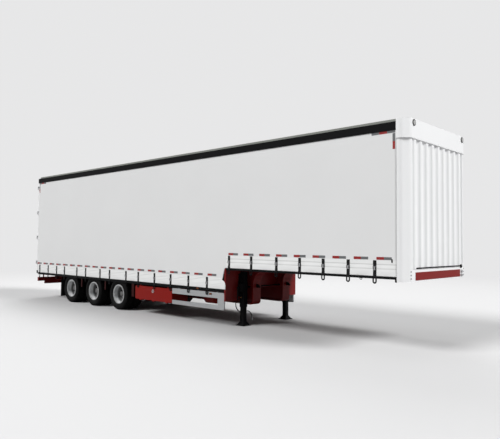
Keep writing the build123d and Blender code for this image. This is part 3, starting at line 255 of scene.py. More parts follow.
def stepped(tree, value, stops, interpolation="LINEAR"):
    """A value from 0 to 1 turned into a colour by a table of (place, colour)."""
    node = tree.nodes.new("ShaderNodeValToRGB")
    ramp = node.color_ramp
    ramp.interpolation = interpolation
    while len(ramp.elements) < len(stops):
        ramp.elements.new(0.5)
    for element, (place, tone) in zip(ramp.elements, stops):
        element.position = place
        element.color = (*tone, 1)
    tree.links.new(value, node.inputs["Fac"])
    return node.outputs["Color"]


# Shader groups: each maker fills a group from its inputs and names its outputs

def paint_mottle(tree, given):
    """Slow shade changes and a fine orange-peel height for paint."""
    slow = put(tree, "ShaderNodeTexNoise", Vector=spot_of(tree), Scale=given["Scale"], Detail=4)["Fac"]
    fine = put(tree, "ShaderNodeTexNoise", Vector=spot_of(tree), Scale=160, Detail=2)["Fac"]
    low = maths(tree, "SUBTRACT", 1, given["Amount"])
    high = maths(tree, "ADD", 1, given["Amount"])
    return {"Shade": spread(tree, slow, low, high), "Gloss": slow, "Height": fine}


def road_dust(tree, given):
    """A mask of dust that is thick near the ground and breaks up upwards."""
    spot = spot_of(tree)
    rise = spread(tree, axes_of(tree, spot)["Z"], 1, 0, given["Low"], given["High"], soft=True)
    cloud = put(tree, "ShaderNodeTexNoise", Vector=spot, Scale=4, Detail=6)["Fac"]
    both = maths(tree, "MULTIPLY", rise, spread(tree, cloud, 0, 1, 0.3, 0.75))
    return {"Mask": maths(tree, "MULTIPLY", both, given["Amount"])}


def drawn_grain(tree, given):
    """Long fine lines left by rolling or drawing, along X."""
    squeeze = put(tree, "ShaderNodeCombineXYZ", given["Stretch"], 1, 1)[0]
    mapped = vectors(tree, "MULTIPLY", spot_of(tree), squeeze)[0]
    return {"Line": put(tree, "ShaderNodeTexNoise", Vector=mapped, Scale=given["Scale"], Detail=3)["Fac"]}


def weave(tree, given):
    """Crossed threads in the plane of X and Z."""
    warp, weft = [
        put(tree, "ShaderNodeTexWave", bands_direction=way, Vector=spot_of(tree), Scale=given["Threads"],
            Distortion=0.4)["Fac"]
        for way in ("X", "Z")
    ]
    return {"Height": maths(tree, "MAXIMUM", warp, weft)}


GROUP_MAKERS = {
    "Paint mottle": (paint_mottle, ("Scale", "Amount")),
    "Road dust": (road_dust, ("Low", "High", "Amount")),
    "Drawn grain": (drawn_grain, ("Scale", "Stretch")),
    "Weave": (weave, ("Threads",)),
}
GROUPS = {}


def shared(tree, name, **values):
    """Outputs of a shared group placed in a material with its own values."""
    if name not in GROUPS:
        maker, labels = GROUP_MAKERS[name]
        group = bpy.data.node_groups.new(name, "ShaderNodeTree")
        for label in labels:
            group.interface.new_socket(name=label, in_out="INPUT", socket_type="NodeSocketFloat")
        results = maker(group, group.nodes.new("NodeGroupInput").outputs)
        for label in results:
            group.interface.new_socket(name=label, in_out="OUTPUT", socket_type="NodeSocketFloat")
        end = group.nodes.new("NodeGroupOutput")
        for label, output in results.items():
            group.links.new(output, end.inputs[label])
        GROUPS[name] = group
    return put(tree, "ShaderNodeGroup", node_tree=GROUPS[name], **values)


# Materials

FINE = 0.001
MATERIALS = {}


def skin(name):
    """A new material with its tree and its Principled shader."""
    material = bpy.data.materials.new(name)
    material.use_nodes = True
    return material, material.node_tree, material.node_tree.nodes["Principled BSDF"]


def feed(tree, shader, **named):
    """Feeds a shader's inputs by name."""
    for key, value in named.items():
        give(tree, shader.inputs[key.replace("_", " ")], value)


def make(name, maker, *values, **named):
    """A material from a maker that says what feeds its shader."""
    material, tree, shader = skin(name)
    feed(tree, shader, **maker(tree, *values, **named))
    MATERIALS[name] = material


def bumped(tree, height, strength, distance=FINE):
    """A normal from a height."""
    return put(tree, "ShaderNodeBump", Height=height, Strength=strength, Distance=distance)["Normal"]


def dusted(tree, body, low, high, amount):
    """A colour with road dust over it."""
    mask = shared(tree, "Road dust", Low=low, High=high, Amount=amount)["Mask"]
    return mixed(tree, mask, body, colours().dust_and_shade)


def painted(tree, base, rough, mottle=0.04, dust=0.25, high=1.3, coat=0.0, peel=0.06, shine=0.5, top=0.0):
    """Paint with slow shade changes, uneven gloss, orange peel and road dust, and painted shade in the colour
    of dust on its upper faces.
    """
    film = shared(tree, "Paint mottle", Scale=1.7, Amount=mottle)
    body = dusted(tree, tinted(tree, base, film["Shade"]), 0.05, high, dust)
    # Upper faces are darkened towards the dust colour: painted shade against the strong light from above
    if top:
        facing = axes_of(tree, put(tree, "ShaderNodeNewGeometry")["Normal"])["Z"]
        body = mixed(tree, spread(tree, facing, 0, top, 0.5, 0.9, soft=True), body, colours().dust_and_shade)
    return dict(
        Base_Color=body, Roughness=spread(tree, film["Gloss"], rough - 0.07, rough + 0.09),
        Specular_IOR_Level=shine, Coat_Weight=coat, Coat_Roughness=0.12,
        Normal=bumped(tree, film["Height"], peel))


def drawn_metal(tree, base, rough, stretch=0.02, dust=0.12):
    """Bare metal with drawn lines and a little dust."""
    line = shared(tree, "Drawn grain", Scale=140.0, Stretch=stretch)["Line"]
    film = shared(tree, "Paint mottle", Scale=2.5, Amount=0.06)
    return dict(
        Base_Color=dusted(tree, tinted(tree, base, film["Shade"]), 0.05, 1.2, dust),
        Roughness=spread(tree, line, rough - 0.1, rough + 0.12), Metallic=0.85,
        Normal=bumped(tree, line, 0.12, 0.0006))


def coated_cloth(tree, base, skirt):
    """Coated curtain cloth: faint threads under a satin film, brighter skirts, and painted shade with dirt that
    darkens its seams and folds.
    """
    film = shared(tree, "Paint mottle", Scale=0.9, Amount=0.025)
    threads = shared(tree, "Weave", Threads=260.0)["Height"]
    low, seam = [put(tree, "ShaderNodeAttribute", attribute_name=mask)["Fac"] for mask in ("skirt", "seam")]
    body = tinted(tree, mixed(tree, low, base, skirt), film["Shade"])
    # Seams and folds darken towards grey: painted shade in the creases, with dirt
    body = mixed(tree, seam, dusted(tree, body, 0.7, 1.7, 0.05), (0.24, 0.24, 0.235))
    return dict(
        Base_Color=body, Roughness=spread(tree, film["Gloss"], 0.46, 0.62), Specular_IOR_Level=0.3,
        Sheen_Weight=0.05, Normal=bumped(tree, threads, 0.08, 0.0006))


def webbing(tree, base):
    """Woven strap."""
    threads = shared(tree, "Weave", Threads=130.0)["Height"]
    film = shared(tree, "Paint mottle", Scale=9.0, Amount=0.25)
    return dict(
        Base_Color=tinted(tree, base, film["Shade"]), Roughness=spread(tree, threads, 0.9, 0.65),
        Specular_IOR_Level=0.2, Normal=bumped(tree, threads, 0.5))


def rubber(tree, base, dust):
    """Matt rubber, greyed by dust."""
    film = shared(tree, "Paint mottle", Scale=6.0, Amount=0.3)
    return dict(
        Base_Color=dusted(tree, tinted(tree, base, film["Shade"]), 0.0, 1.1, dust),
        Roughness=spread(tree, film["Gloss"], 0.6, 0.9), Specular_IOR_Level=0.08,
        Normal=bumped(tree, film["Height"], 0.3))


# Painted shade and brake dust in a rim from its disc out to its lip, as (share of the rim's depth, darkening)
RIM_DEPTH = 0.26
RIM_SHADE_AND_DUST = (
    (0.00, 0.93), (0.17, 0.93), (0.20, 0.60), (0.23, 0.92), (0.36, 0.88), (0.40, 0.68), (0.43, 0.85),
    (0.52, 0.30), (0.60, 0.00), (0.92, 0.00), (0.96, 0.42),
)
# Painted shade and dust round the hub, and the radii between which it starts
HUB_SHADE_AND_DUST = 0.88
HUB_EDGE = (0.232, 0.205)


def wheel_paint(tree, base):
    """Silver wheel paint, darkened with painted shade and brake dust down in the dish and round the hub, and
    dulled on the lip.
    """
    film = shared(tree, "Paint mottle", Scale=5.0, Amount=0.08)
    axes = axes_of(tree, spot_of(tree))
    depth = spread(tree, maths(tree, "ABSOLUTE", axes["Y"]), 0, 1, TWIN_Y, TWIN_Y + RIM_DEPTH)
    half = (AXLES[0] - AXLES[1]) / 2
    ahead = maths(tree, "WRAP", axes["X"], AXLES[0] + half, AXLES[0] - half)
    flat = put(tree, "ShaderNodeCombineXYZ", ahead, 0, axes["Z"])[0]
    reach = vectors(tree, "DISTANCE", flat, (AXLES[0], 0, AXLE_Z))["Value"]
    dish = stepped(tree, depth, [(place, (dust, dust, dust)) for place, dust in RIM_SHADE_AND_DUST])
    dish_shade_and_dust = maths(tree, "MAXIMUM", dish, spread(tree, reach, 0, HUB_SHADE_AND_DUST, *HUB_EDGE, soft=True))
    # Near black deep in the dish and round the hub: painted shade, with brake dust
    return dict(
        Base_Color=mixed(tree, dish_shade_and_dust, tinted(tree, base, film["Shade"]), (0.035, 0.033, 0.032)),
        Roughness=spread(tree, dish_shade_and_dust, 0.36, 0.60), Metallic=spread(tree, dish_shade_and_dust, 0.22, 0.0),
        Specular_IOR_Level=0.2, Normal=bumped(tree, film["Height"], 0.05))


def boards(tree, base):
    """Floor boards along the trailer with a grain."""
    line = shared(tree, "Drawn grain", Scale=60.0, Stretch=0.04)["Line"]
    film = shared(tree, "Paint mottle", Scale=3.0, Amount=0.2)
    body = tinted(tree, tinted(tree, base, film["Shade"]), spread(tree, line, 0.55, 1.25))
    return dict(
        Base_Color=body, Roughness=spread(tree, line, 0.6, 0.85), Normal=bumped(tree, line, 0.3))


def ribbed(tree, scale):
    """Fine ribs across a lens."""
    return put(tree, "ShaderNodeTexWave", bands_direction="Z", Vector=spot_of(tree), Scale=scale)["Fac"]


MARKER_LENS = 0.0405


def marker_lens(tree):
    """Clear ribbed lens in a black bezel, round on either side of the trailer."""
    radius = (MARKER_HI.z - MARKER_LO.z) / 2
    axes = axes_of(tree, spot_of(tree))
    flat = put(tree, "ShaderNodeCombineXYZ", 0, maths(tree, "ABSOLUTE", axes["Y"]), axes["Z"])[0]
    reach = vectors(tree, "DISTANCE", flat, (0, MARKER_HI.y - radius, MARKER_LO.z + radius))["Value"]
    lens = maths(tree, "LESS_THAN", reach, MARKER_LENS)
    ribs = ribbed(tree, 45)
    tint = tinted(tree, (0.45, 0.45, 0.44), spread(tree, ribs, 0.7, 1.0))
    return dict(
        Base_Color=mixed(tree, lens, (0.012, 0.012, 0.013), tint),
        Roughness=spread(tree, lens, 0.5, 0.12), Normal=bumped(tree, ribs, 0.3))


# Fields of a tail lamp from its inner end, as (share of the width, colour)
LAMP_WIDTH = 0.37
LAMP_FIELDS = ((0.0, (0.55, 0.56, 0.57)), (0.2, (0.75, 0.22, 0.01)), (0.42, (0.42, 0.008, 0.01)))


def tail_lens(tree):
    """Lamp cluster in three fields: clear, amber and red, with fine ribs."""
    out = maths(tree, "ABSOLUTE", axes_of(tree, spot_of(tree))["Y"])
    share = spread(tree, out, 0, 1, LAMP_EDGE - LAMP_WIDTH, LAMP_EDGE)
    fields = stepped(tree, share, LAMP_FIELDS, "CONSTANT")
    ribs = ribbed(tree, 60)
    return dict(
        Base_Color=tinted(tree, fields, spread(tree, ribs, 0.75, 1.0)), Roughness=0.15,
        Coat_Weight=0.5, Normal=bumped(tree, ribs, 0.3))


def reflective_tape(tree, base):
    """Reflective tape with a fine honeycomb sparkle."""
    cells = put(tree, "ShaderNodeTexVoronoi", Vector=spot_of(tree), Scale=140)["Distance"]
    return dict(
        Base_Color=tinted(tree, base, spread(tree, cells, 1.15, 0.8)),
        Roughness=spread(tree, cells, 0.25, 0.5), Metallic=0.1)


WHEELS = [(number, side) for number in (1, 2, 3) for side, _ in SIDES]

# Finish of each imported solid
FINISHES = {
    "white_paint": (
        "front_wall", "corner_posts", "front_header", "front_sill", "rear_frame", "rear_door_left",
        "rear_door_right",
    ),
    "chassis_paint_shaded": (
        "main_beams", "deck_cross_members", "neck_cross_members", "step_riser", "suspension_hangers",
        "rear_bumper",
    ),
    "box_paint": ("tool_boxes", "tool_box_lid_left", "tool_box_lid_right", "air_tanks"),
    "stay_paint_shaded": ("mudguard_brackets",),
    "sign_paint": ("front_panel",),
    "black_enamel": (
        "side_rails", "landing_legs", "landing_feet", "landing_drive", "axles", "trailing_arms",
        "brake_chambers",
    ),
    "strap_webbing": ("curtain_straps",),
    "black_trim": ("pelmets",),
    "roof_panel": ("roof_sheet",),
    "aluminium": ("roof_bows", "side_guards"),
    "cant_grey": ("cant_rails",),
    "zinc_steel": (
        "coupler_plate", "front_couplings", "hinge_lugs", "lock_rods_left", "lock_rods_right",
        "curtain_buckles",
    ),
    "dark_steel": ("kingpin",),
    "floor_boards": ("upper_floor", "lower_floor"),
    "tyre_rubber": tuple(f"tyres_{number}_{side}" for number, side in WHEELS),
    "flap_rubber": ("air_springs", "mudflaps", "air_hose"),
    "wheel_paint": tuple(f"rims_{number}_{side}" for number, side in WHEELS),
    "marker_lens": ("marker_lamps",),
    "tail_lens": ("tail_lamps",),
    "curtain_cloth": ("curtain_left", "curtain_right"),
}


class TRAILER_OT_finishes(bpy.types.Operator):
    """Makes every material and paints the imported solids"""
    bl_idname = "trailer.finishes"
    bl_label = "Paint and finishes"

    def execute(self, context):
        c = colours()
        # The stays get a far darker copy of the chassis red: painted shade under the rail
        stay = tuple(0.15 * part for part in c.red)
        make("white_paint", painted, c.white, 0.36, 0.02, 0.05, 1.6, coat=0.2, peel=0.03, top=0.62)
        # The chassis paint is a darker copy of the box paint: painted shade under the trailer
        make("chassis_paint_shaded", painted, c.red, 0.45, 0.12, 0.04, 0.9, shine=0.22)
        make("box_paint", painted, c.box_red, 0.45, 0.10, 0.02, 0.9, shine=0.14)
        make("stay_paint_shaded", painted, stay, 0.5, 0.12, 0.02, 0.9, shine=0.12)
        make("sign_paint", painted, c.sign, 0.45, 0.05, 0.0, shine=0.15)
        make("black_enamel", painted, c.black, 0.55, 0.2, 0.008, 0.8, shine=0.06)
        make("strap_webbing", webbing, (0.006, 0.006, 0.0065))
        make("black_trim", painted, (0.005, 0.005, 0.0055), 0.6, 0.2, 0.0, shine=0.06)
        make("roof_panel", painted, (0.44, 0.445, 0.44), 0.4, 0.05, 0.0)
        make("aluminium", drawn_metal, (0.50, 0.51, 0.52), 0.42)
        make("cant_grey", painted, (0.20, 0.21, 0.19), 0.5, 0.15, 0.0)
        make("zinc_steel", drawn_metal, (0.56, 0.56, 0.57), 0.36, 0.4)
        make("dark_steel", drawn_metal, (0.22, 0.22, 0.23), 0.4, 0.5)
        make("lever_steel", drawn_metal, (0.34, 0.34, 0.35), 0.4, 0.4)
        make("buckle_steel", painted, (0.03, 0.03, 0.032), 0.45, 0.2, 0.0, shine=0.2)
        make("floor_boards", boards, (0.22, 0.13, 0.075))
        make("tyre_rubber", rubber, c.rubber, 0.025)
        make("flap_rubber", rubber, (0.009, 0.009, 0.0095), 0.06)
        make("wheel_paint", wheel_paint, c.silver)
        make("marker_lens", marker_lens)
        make("tail_lens", tail_lens)
        make("curtain_cloth", coated_cloth, c.curtain, c.skirt)
        make("tape_red", reflective_tape, c.tape_red)
        make("tape_grey", reflective_tape, c.tape_grey)
        make("brass", drawn_metal, (0.50, 0.34, 0.14), 0.35, 0.3)
        make("amber_lens", painted, (0.22, 0.055, 0.010), 0.25, 0.1, 0.0, shine=0.25)
        make("seal_rubber", rubber, (0.009, 0.009, 0.0095), 0.03)
        for finish, names in FINISHES.items():
            for name in names:
                mesh = NODES[name].data
                mesh.materials.clear()
                mesh.materials.append(MATERIALS[finish])
        return {"FINISHED"}


# Meshes

def settle(piece, body, slot, *stands_for):
    """Ties a finished piece to its body and hides the solids that it stands for; its slot is not used."""
    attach(piece, body)
    if stands_for:
        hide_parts(*stands_for)


def show(name, data):
    """An object at the origin."""
    piece = bpy.data.objects.new(name, data)
    bpy.context.scene.collection.objects.link(piece)
    return piece


def mesh_of(name, build, material, sharp=None):
    """A mesh from a function that fills a bmesh, flat or else smooth up to an angle in degrees."""
    bm = bmesh.new()
    build(bm)
    bmesh.ops.recalc_face_normals(bm, faces=bm.faces)
    mesh = bpy.data.meshes.new(name)
    bm.to_mesh(mesh)
    bm.free()
    mesh.materials.append(MATERIALS[material])
    for face in mesh.polygons:
        face.use_smooth = sharp is not None
    if sharp:
        mesh.set_sharp_from_angle(angle=math.radians(sharp))
    return mesh


def add_piece(name, build, material, body, slot, *stands_for, sharp=None):
    """A piece that a function builds and that rides on a body."""
    piece = show(name, mesh_of(name, build, material, sharp))
    settle(piece, body, slot, *stands_for)
    return piece


def add_box(bm, low, high, bevel=0.0):
    """A box between two corners, with its edges rounded off."""
    low = Vector(low)
    high = Vector(high)
    shape = Matrix.Translation((low + high) / 2) @ Matrix.Diagonal((*(high - low), 1))
    made = bmesh.ops.create_cube(bm, size=1, matrix=shape)
    if bevel:
        edges = list({edge for vert in made["verts"] for edge in vert.link_edges})
        bmesh.ops.bevel(bm, geom=edges, offset=bevel, segments=2, affect="EDGES", profile=0.5)


def add_slab(bm, sign, low, high, bevel=0.002):
    """A box whose Y is given for the left side and mirrored for the right."""
    near, far = sorted((sign * low[1], sign * high[1]))
    add_box(bm, (low[0], near, low[2]), (high[0], far, high[2]), bevel)


def add_tube(bm, start, end, radius, sides=10):
    """A round bar between two points."""
    start = Vector(start)
    end = Vector(end)
    turn = (end - start).to_track_quat("Z", "Y").to_matrix().to_4x4()
    shape = Matrix.Translation((start + end) / 2) @ turn
    bmesh.ops.create_cone(
        bm, cap_ends=True, segments=sides, radius1=radius, radius2=radius, depth=(end - start).length,
        matrix=shape)


def add_loft(bm, rings):
    """Faces between closed rings of corners, the last ring joined to the first."""
    for near, far in zip(rings, rings[1:] + rings[:1]):
        for i in range(len(near)):
            j = (i + 1) % len(near)
            bm.faces.new([near[i], near[j], far[j], far[i]])


def wire_ring(bm, middle, out, wide, deep):
    """Eight corners round a flattened wire that runs square to Y."""
    turns = [math.pi * i / 4 for i in range(8)]
    around = [out * wide * math.cos(b) + Vector((0, deep * math.sin(b), 0)) for b in turns]
    return [bm.verts.new(middle + shift) for shift in around]


def touch(nodes, start, way):
    """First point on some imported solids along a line, and the outward direction there."""
    hits = [NODES[node].ray_cast(Vector(start), Vector(way)) for node in nodes]
    spots = [(spot, out) for hit, spot, out, _ in hits if hit]
    if not spots:
        raise RuntimeError(f"nothing of {nodes} lies along the line from {start}")
    return min(spots, key=lambda found: (found[0] - Vector(start)).length)


# Geometry node trees

class Tree:
    """A geometry node tree with named inputs."""

    def __init__(self, name, **inputs):
        self.group = bpy.data.node_groups.new(name, "GeometryNodeTree")
        self.ids = {}
        face = self.group.interface
        for label, kind in {"Geometry": "Geometry", **inputs, "Material": "Material"}.items():
            socket = face.new_socket(name=label, in_out="INPUT", socket_type="NodeSocket" + kind)
            self.ids[label] = socket.identifier
        face.new_socket(name="Geometry", in_out="OUTPUT", socket_type="NodeSocketGeometry")
        self.given = self.group.nodes.new("NodeGroupInput").outputs

    def add(self, kind, *feeds, **named):
        return put(self.group, "GeometryNode" + kind, *feeds, **named)

    def times(self, label, factor):
        """An input multiplied by a number."""
        return maths(self.group, "MULTIPLY", self.given[label], factor)

    def turn(self):
        """The input of that name as a rotation."""
        return put(self.group, "FunctionNodeEulerToRotation", self.given["Turn"])[0]

    def close(self, geometry):
        """Ends the tree: instances made real, and the material set."""
        real = self.add("RealizeInstances", Geometry=geometry)[0]
        paint = self.add("SetMaterial", Geometry=real, Material=self.given["Material"])[0]
        self.group.links.new(paint, self.group.nodes.new("NodeGroupOutput").inputs[0])
        return self


def nut_ring_tree():
    """A ring of nuts on washers about an axis."""
    tree = Tree(
        "Ring of nuts", Count="Int", Circle="Float", Size="Float", Height="Float", Place="Vector",
        Turn="Vector")
    given = tree.given
    ring = tree.add("MeshCircle", Vertices=given["Count"], Radius=given["Circle"])["Mesh"]
    nut = tree.add("MeshCylinder", Vertices=6, Radius=given["Size"], Depth=given["Height"])["Mesh"]
    washer = tree.add("MeshCylinder", Vertices=14, Radius=tree.times("Size", 1.3), Depth=0.012)["Mesh"]
    both = tree.add("JoinGeometry", [nut, washer])[0]
    spots = tree.add("InstanceOnPoints", Points=ring, Instance=both)[0]
    return tree.close(
        tree.add("Transform", Geometry=spots, Translation=given["Place"], Rotation=tree.turn())[0])


def stud_tree():
    """A stud, rivet or bolt head on every point of a mesh."""
    tree = Tree("Studs on points", Sides="Int", Size="Float", Height="Float", Turn="Vector")
    given = tree.given
    head = tree.add(
        "MeshCone", Vertices=given["Sides"], Radius_Bottom=given["Size"], Radius_Top=tree.times("Size", 0.72),
        Depth=given["Height"])["Mesh"]
    return tree.close(
        tree.add("InstanceOnPoints", Points=given["Geometry"], Instance=head, Rotation=tree.turn())[0])


def tape_tree():
    """A strip on every point of a mesh, laid on the curtain's surface."""
    tree = Tree(
        "Tapes on cloth", Curtain="Object", Length="Float", Height="Float", Lift="Float", Inward="Vector")
    given = tree.given
    strip = tree.add(
        "MeshGrid", Size_X=given["Length"], Size_Y=given["Height"], Vertices_X=7, Vertices_Y=3)["Mesh"]
    upright = tree.add("Transform", Geometry=strip, Rotation=Euler((math.pi / 2, 0, 0)))[0]
    spots = tree.add("InstanceOnPoints", Points=given["Geometry"], Instance=upright)[0]
    flat = tree.add("RealizeInstances", Geometry=spots)[0]
    cloth = tree.add("ObjectInfo", Object=given["Curtain"])["Geometry"]
    cast = tree.add("Raycast", Target_Geometry=cloth, Ray_Direction=given["Inward"], Ray_Length=1.0)
    away = tree.times("Lift", -1)
    back = put(tree.group, "ShaderNodeVectorMath", given["Inward"], operation="SCALE", Scale=away)[0]
    laid = tree.add(
        "SetPosition", Geometry=flat, Selection=cast["Is Hit"], Position=cast["Hit Position"], Offset=back)[0]
    return tree.close(laid)


def copies_tree():
    """A copy of an object on every point of a mesh."""
    tree = Tree("Copies on points", Pattern="Object", Turn="Vector")
    given = tree.given
    pattern = tree.add("ObjectInfo", Object=given["Pattern"])["Geometry"]
    return tree.close(
        tree.add("InstanceOnPoints", Points=given["Geometry"], Instance=pattern, Rotation=tree.turn())[0])


TREES = {}


def grow(name, maker, points, material, **values):
    """An object whose mesh a tree made from points, with the tree's inputs set by name."""
    if maker not in TREES:
        TREES[maker] = maker()
    tree = TREES[maker]
    seed = bpy.data.meshes.new(name + "_points")
    seed.from_pydata([tuple(p) for p in points], [], [])
    piece = show(name, seed)
    modifier = piece.modifiers.new(name, "NODES")
    modifier.node_group = tree.group
    for label, value in {**values, "Material": MATERIALS[material]}.items():
        modifier[tree.ids[label]] = value
    piece.update_tag()
    bake(piece, modifier)
    bpy.data.meshes.remove(seed)
    piece.data.name = name
    if not piece.data.polygons:
        raise RuntimeError(f"{name} came out empty")
    return piece


def bake(piece, modifier):
    """Turns what a modifier makes into the piece's plain mesh."""
    view = bpy.context.evaluated_depsgraph_get()
    view.update()
    piece.data = bpy.data.meshes.new_from_object(piece.evaluated_get(view))
    piece.modifiers.remove(modifier)


# Curtains

# Front edge of the lower half as (height over the hem, distance behind the step): skirt, notch, slanted edge
FRONT_EDGE = (
    (0.0, 0.0), (0.090, 0.0), (0.125, 0.008), (0.155, 0.022), (0.180, 0.045), (0.200, 0.080), (0.214, 0.112),
    (0.226, 0.112), (0.242, 0.092), (0.268, 0.084), (0.368, 0.060), (0.470, 0.026), (0.485, 0.0),
)
# Length of the lower half behind the step that its shaped front edge draws in
EDGE_ZONE = 0.24
# Heights of the seams over the hem, with their depth, on the upper and the lower half
UPPER_SEAMS = ((0.130, 0.8), (0.205, 0.8))
LOWER_SEAMS = ((0.268, 0.35),)
SEAM_HALF = 0.0075
SEAM_SINK = 0.0035
SKIRT_TOP = (0.268, 0.286)
# The cloth's grid: pitch of the rows in the skirts, rows above them, and columns behind, in and before the edge
ROW_PITCH = 0.0115
HIGH_ROWS = 30
REAR_COLUMNS, EDGE_COLUMNS, FRONT_COLUMNS = 200, 8, 96
CLOTH_SINK = 0.0004


def front_edge(h):
    """How far the lower half's front edge stands behind the step at a height over the hem."""
    for (low, near), (high, far) in zip(FRONT_EDGE, FRONT_EDGE[1:]):
        if low <= h <= high:
            return near + (far - near) * (h - low) / (high - low)
    return 0.0


def smooth(low, high, value):
    """0 below low, 1 above high and an even change between."""
    t = min(max((value - low) / (high - low), 0), 1)
    return t * t * (3 - 2 * t)


def over_hem(x, z):
    """Height over the hem."""
    return z - (UPPER_HEM if x > STEP else LOWER_HEM)


def bay(x):
    """Place between two straps, from 0 at the rear one to 1 at the front one."""
    ends = sorted([STEP, CURTAIN_HI.x, *UPPER_STRAPS] if x > STEP else [CURTAIN_LO.x, STEP, *LOWER_STRAPS])
    for low, high in zip(ends, ends[1:]):
        if low <= x <= high:
            return (x - low) / (high - low)
    return 0.0


def seam_depth(x, z):
    """How far the skirt's seams and the slanting folds of the lower skirt draw the cloth in, from 0 to 1."""
    lines = UPPER_SEAMS
    if x <= STEP:
        t = bay(x)
        arch = math.sin(math.pi * t)
        uneven = 0.03 * noise.noise(Vector((x * 0.9, 4.0, 1.0)))
        folds = ((0.150 + 0.085 * t + uneven, 0.55 * arch), (0.075 + 0.070 * t - uneven, 0.30 * arch))
        lines = LOWER_SEAMS + folds
    return sum(depth * math.exp(-((over_hem(x, z) - line) / SEAM_HALF) ** 2) for line, depth in lines)


def cloth_swell(x, z):
    """How far the curtain stands off its flat plane at a point."""
    s = sizes()
    h = over_hem(x, z)
    share = math.sin(math.pi * bay(x)) ** 2
    swell = s.bulge * share * math.exp(-((h - 0.085) / 0.085) ** 2)
    swell -= SEAM_SINK * seam_depth(x, z) * (0.3 + 0.7 * share)
    slant = noise.noise(Vector((x * 1.6 + z * 3.2, z * 2.4 - x * 0.7, 3.1)))
    swell += 0.004 * slant * math.exp(-(h / 0.35) ** 2) * share
    free = smooth(0.25, 0.9, h) * smooth(0, 0.7, CURTAIN_HI.z - z)
    free *= smooth(0, 0.35, x - CURTAIN_LO.x) * smooth(0, 0.35, CURTAIN_HI.x - x)
    wave = noise.noise(Vector((x * 1.3, z * 0.35, 7.7)))
    return swell + s.ripple * wave * free


def cloth_rows():
    """Heights of the cloth's grid, close together in the skirts and at their seams."""
    low = [z for z in (LOWER_HEM + ROW_PITCH * i for i in range(1, 42)) if z < UPPER_HEM - 0.006]
    middle = [UPPER_HEM + ROW_PITCH * i for i in range(1, 31)]
    top = middle[-1]
    high = [top + (CURTAIN_HI.z - top) * (i + 1) / HIGH_ROWS for i in range(HIGH_ROWS)]
    return [LOWER_HEM, *low, UPPER_HEM, *middle, *high]


def cloth_columns():
    """Stations of the cloth's grid along the trailer."""
    span = STEP - EDGE_ZONE - CURTAIN_LO.x
    rear = [CURTAIN_LO.x + span * i / REAR_COLUMNS for i in range(REAR_COLUMNS)]
    edge = [STEP - EDGE_ZONE * (1 - i / EDGE_COLUMNS) for i in range(EDGE_COLUMNS + 1)]
    front = [STEP + (CURTAIN_HI.x - STEP) * (i + 1) / FRONT_COLUMNS for i in range(FRONT_COLUMNS)]
    return rear + edge + front


def curtain_mesh(name, sign):
    """One curtain: a stepped sheet whose skirt swells between the straps, with masks for the skirt and for the
    painted shade in its seams and folds.
    """
    rows = cloth_rows()
    columns = cloth_columns()
    bm = bmesh.new()
    mapped = bm.loops.layers.uv.new("cloth")
    skirt, seam = [bm.verts.layers.float.new(label) for label in ("skirt", "seam")]
    grid = {}

    def point(i, j):
        if (i, j) not in grid:
            x = columns[i]
            z = rows[j]
            drawn = 0.0 if x > STEP else smooth(STEP - EDGE_ZONE, STEP, x) * front_edge(z - LOWER_HEM)
            vert = bm.verts.new((x - drawn, sign * (CLOTH_FACE - CLOTH_SINK + cloth_swell(x, z)), z))
            vert[skirt] = 1 - smooth(*SKIRT_TOP, over_hem(x, z))
            # How dark the painted shade in the seams and folds is at this point
            vert[seam] = min(0.6 * seam_depth(x, z), 0.6)
            grid[i, j] = vert
        return grid[i, j]

    high_row = rows.index(UPPER_HEM)
    for i in range(len(columns) - 1):
        start = high_row if columns[i] > STEP - 1e-6 else 0
        for j in range(start, len(rows) - 1):
            corners = [point(i, j), point(i + 1, j), point(i + 1, j + 1), point(i, j + 1)]
            face = bm.faces.new(corners if sign < 0 else corners[::-1])
            face.smooth = True
            for loop in face.loops:
                loop[mapped].uv = (loop.vert.co.x, loop.vert.co.z)
    mesh = bpy.data.meshes.new(name)
    bm.to_mesh(mesh)
    bm.free()
    mesh.materials.append(MATERIALS["curtain_cloth"])
    return mesh


class TRAILER_OT_curtains(bpy.types.Operator):
    """Hangs the two side curtains"""
    bl_idname = "trailer.curtains"
    bl_label = "Side curtains"

    def execute(self, context):
        for side, sign in SIDES:
            name = f"cloth_{side}"
            piece = show(name, curtain_mesh(name, sign))
            wall = piece.modifiers.new("thickness", "SOLIDIFY")
            wall.thickness = sizes().cloth
            wall.offset = -1
            bake(piece, wall)
            settle(piece, TRAILER, "curtain", f"curtain_{side}")
        return {"FINISHED"}


# Rear end of each tape on the lower skirt
LOWER_TAPES = (
    1.812, 1.343, 0.879, 0.424, -0.053, -0.502, -0.961, -1.428, -1.890, -2.337,
    -2.785, -3.235, -3.672, -4.120, -4.567, -5.013, -5.458, -5.895, -6.335, -6.775,
)
# Number of tapes on the upper skirt, and how far the first one starts in front of the step
UPPER_TAPES = 9
UPPER_START = 0.087
# Heights of the tapes over the upper and the lower hem
UPPER_TAPE_RISE = 0.313
LOWER_TAPE_RISE = 0.310
# Corner marks at the top: three bars along the edge and two upright marks below them
CORNER_INSET = 0.02
BAR_LENGTH = 0.155
MARK_HEIGHT = 0.14
MARK_GAP = 0.0075
TAPE_LIFT = 0.0006


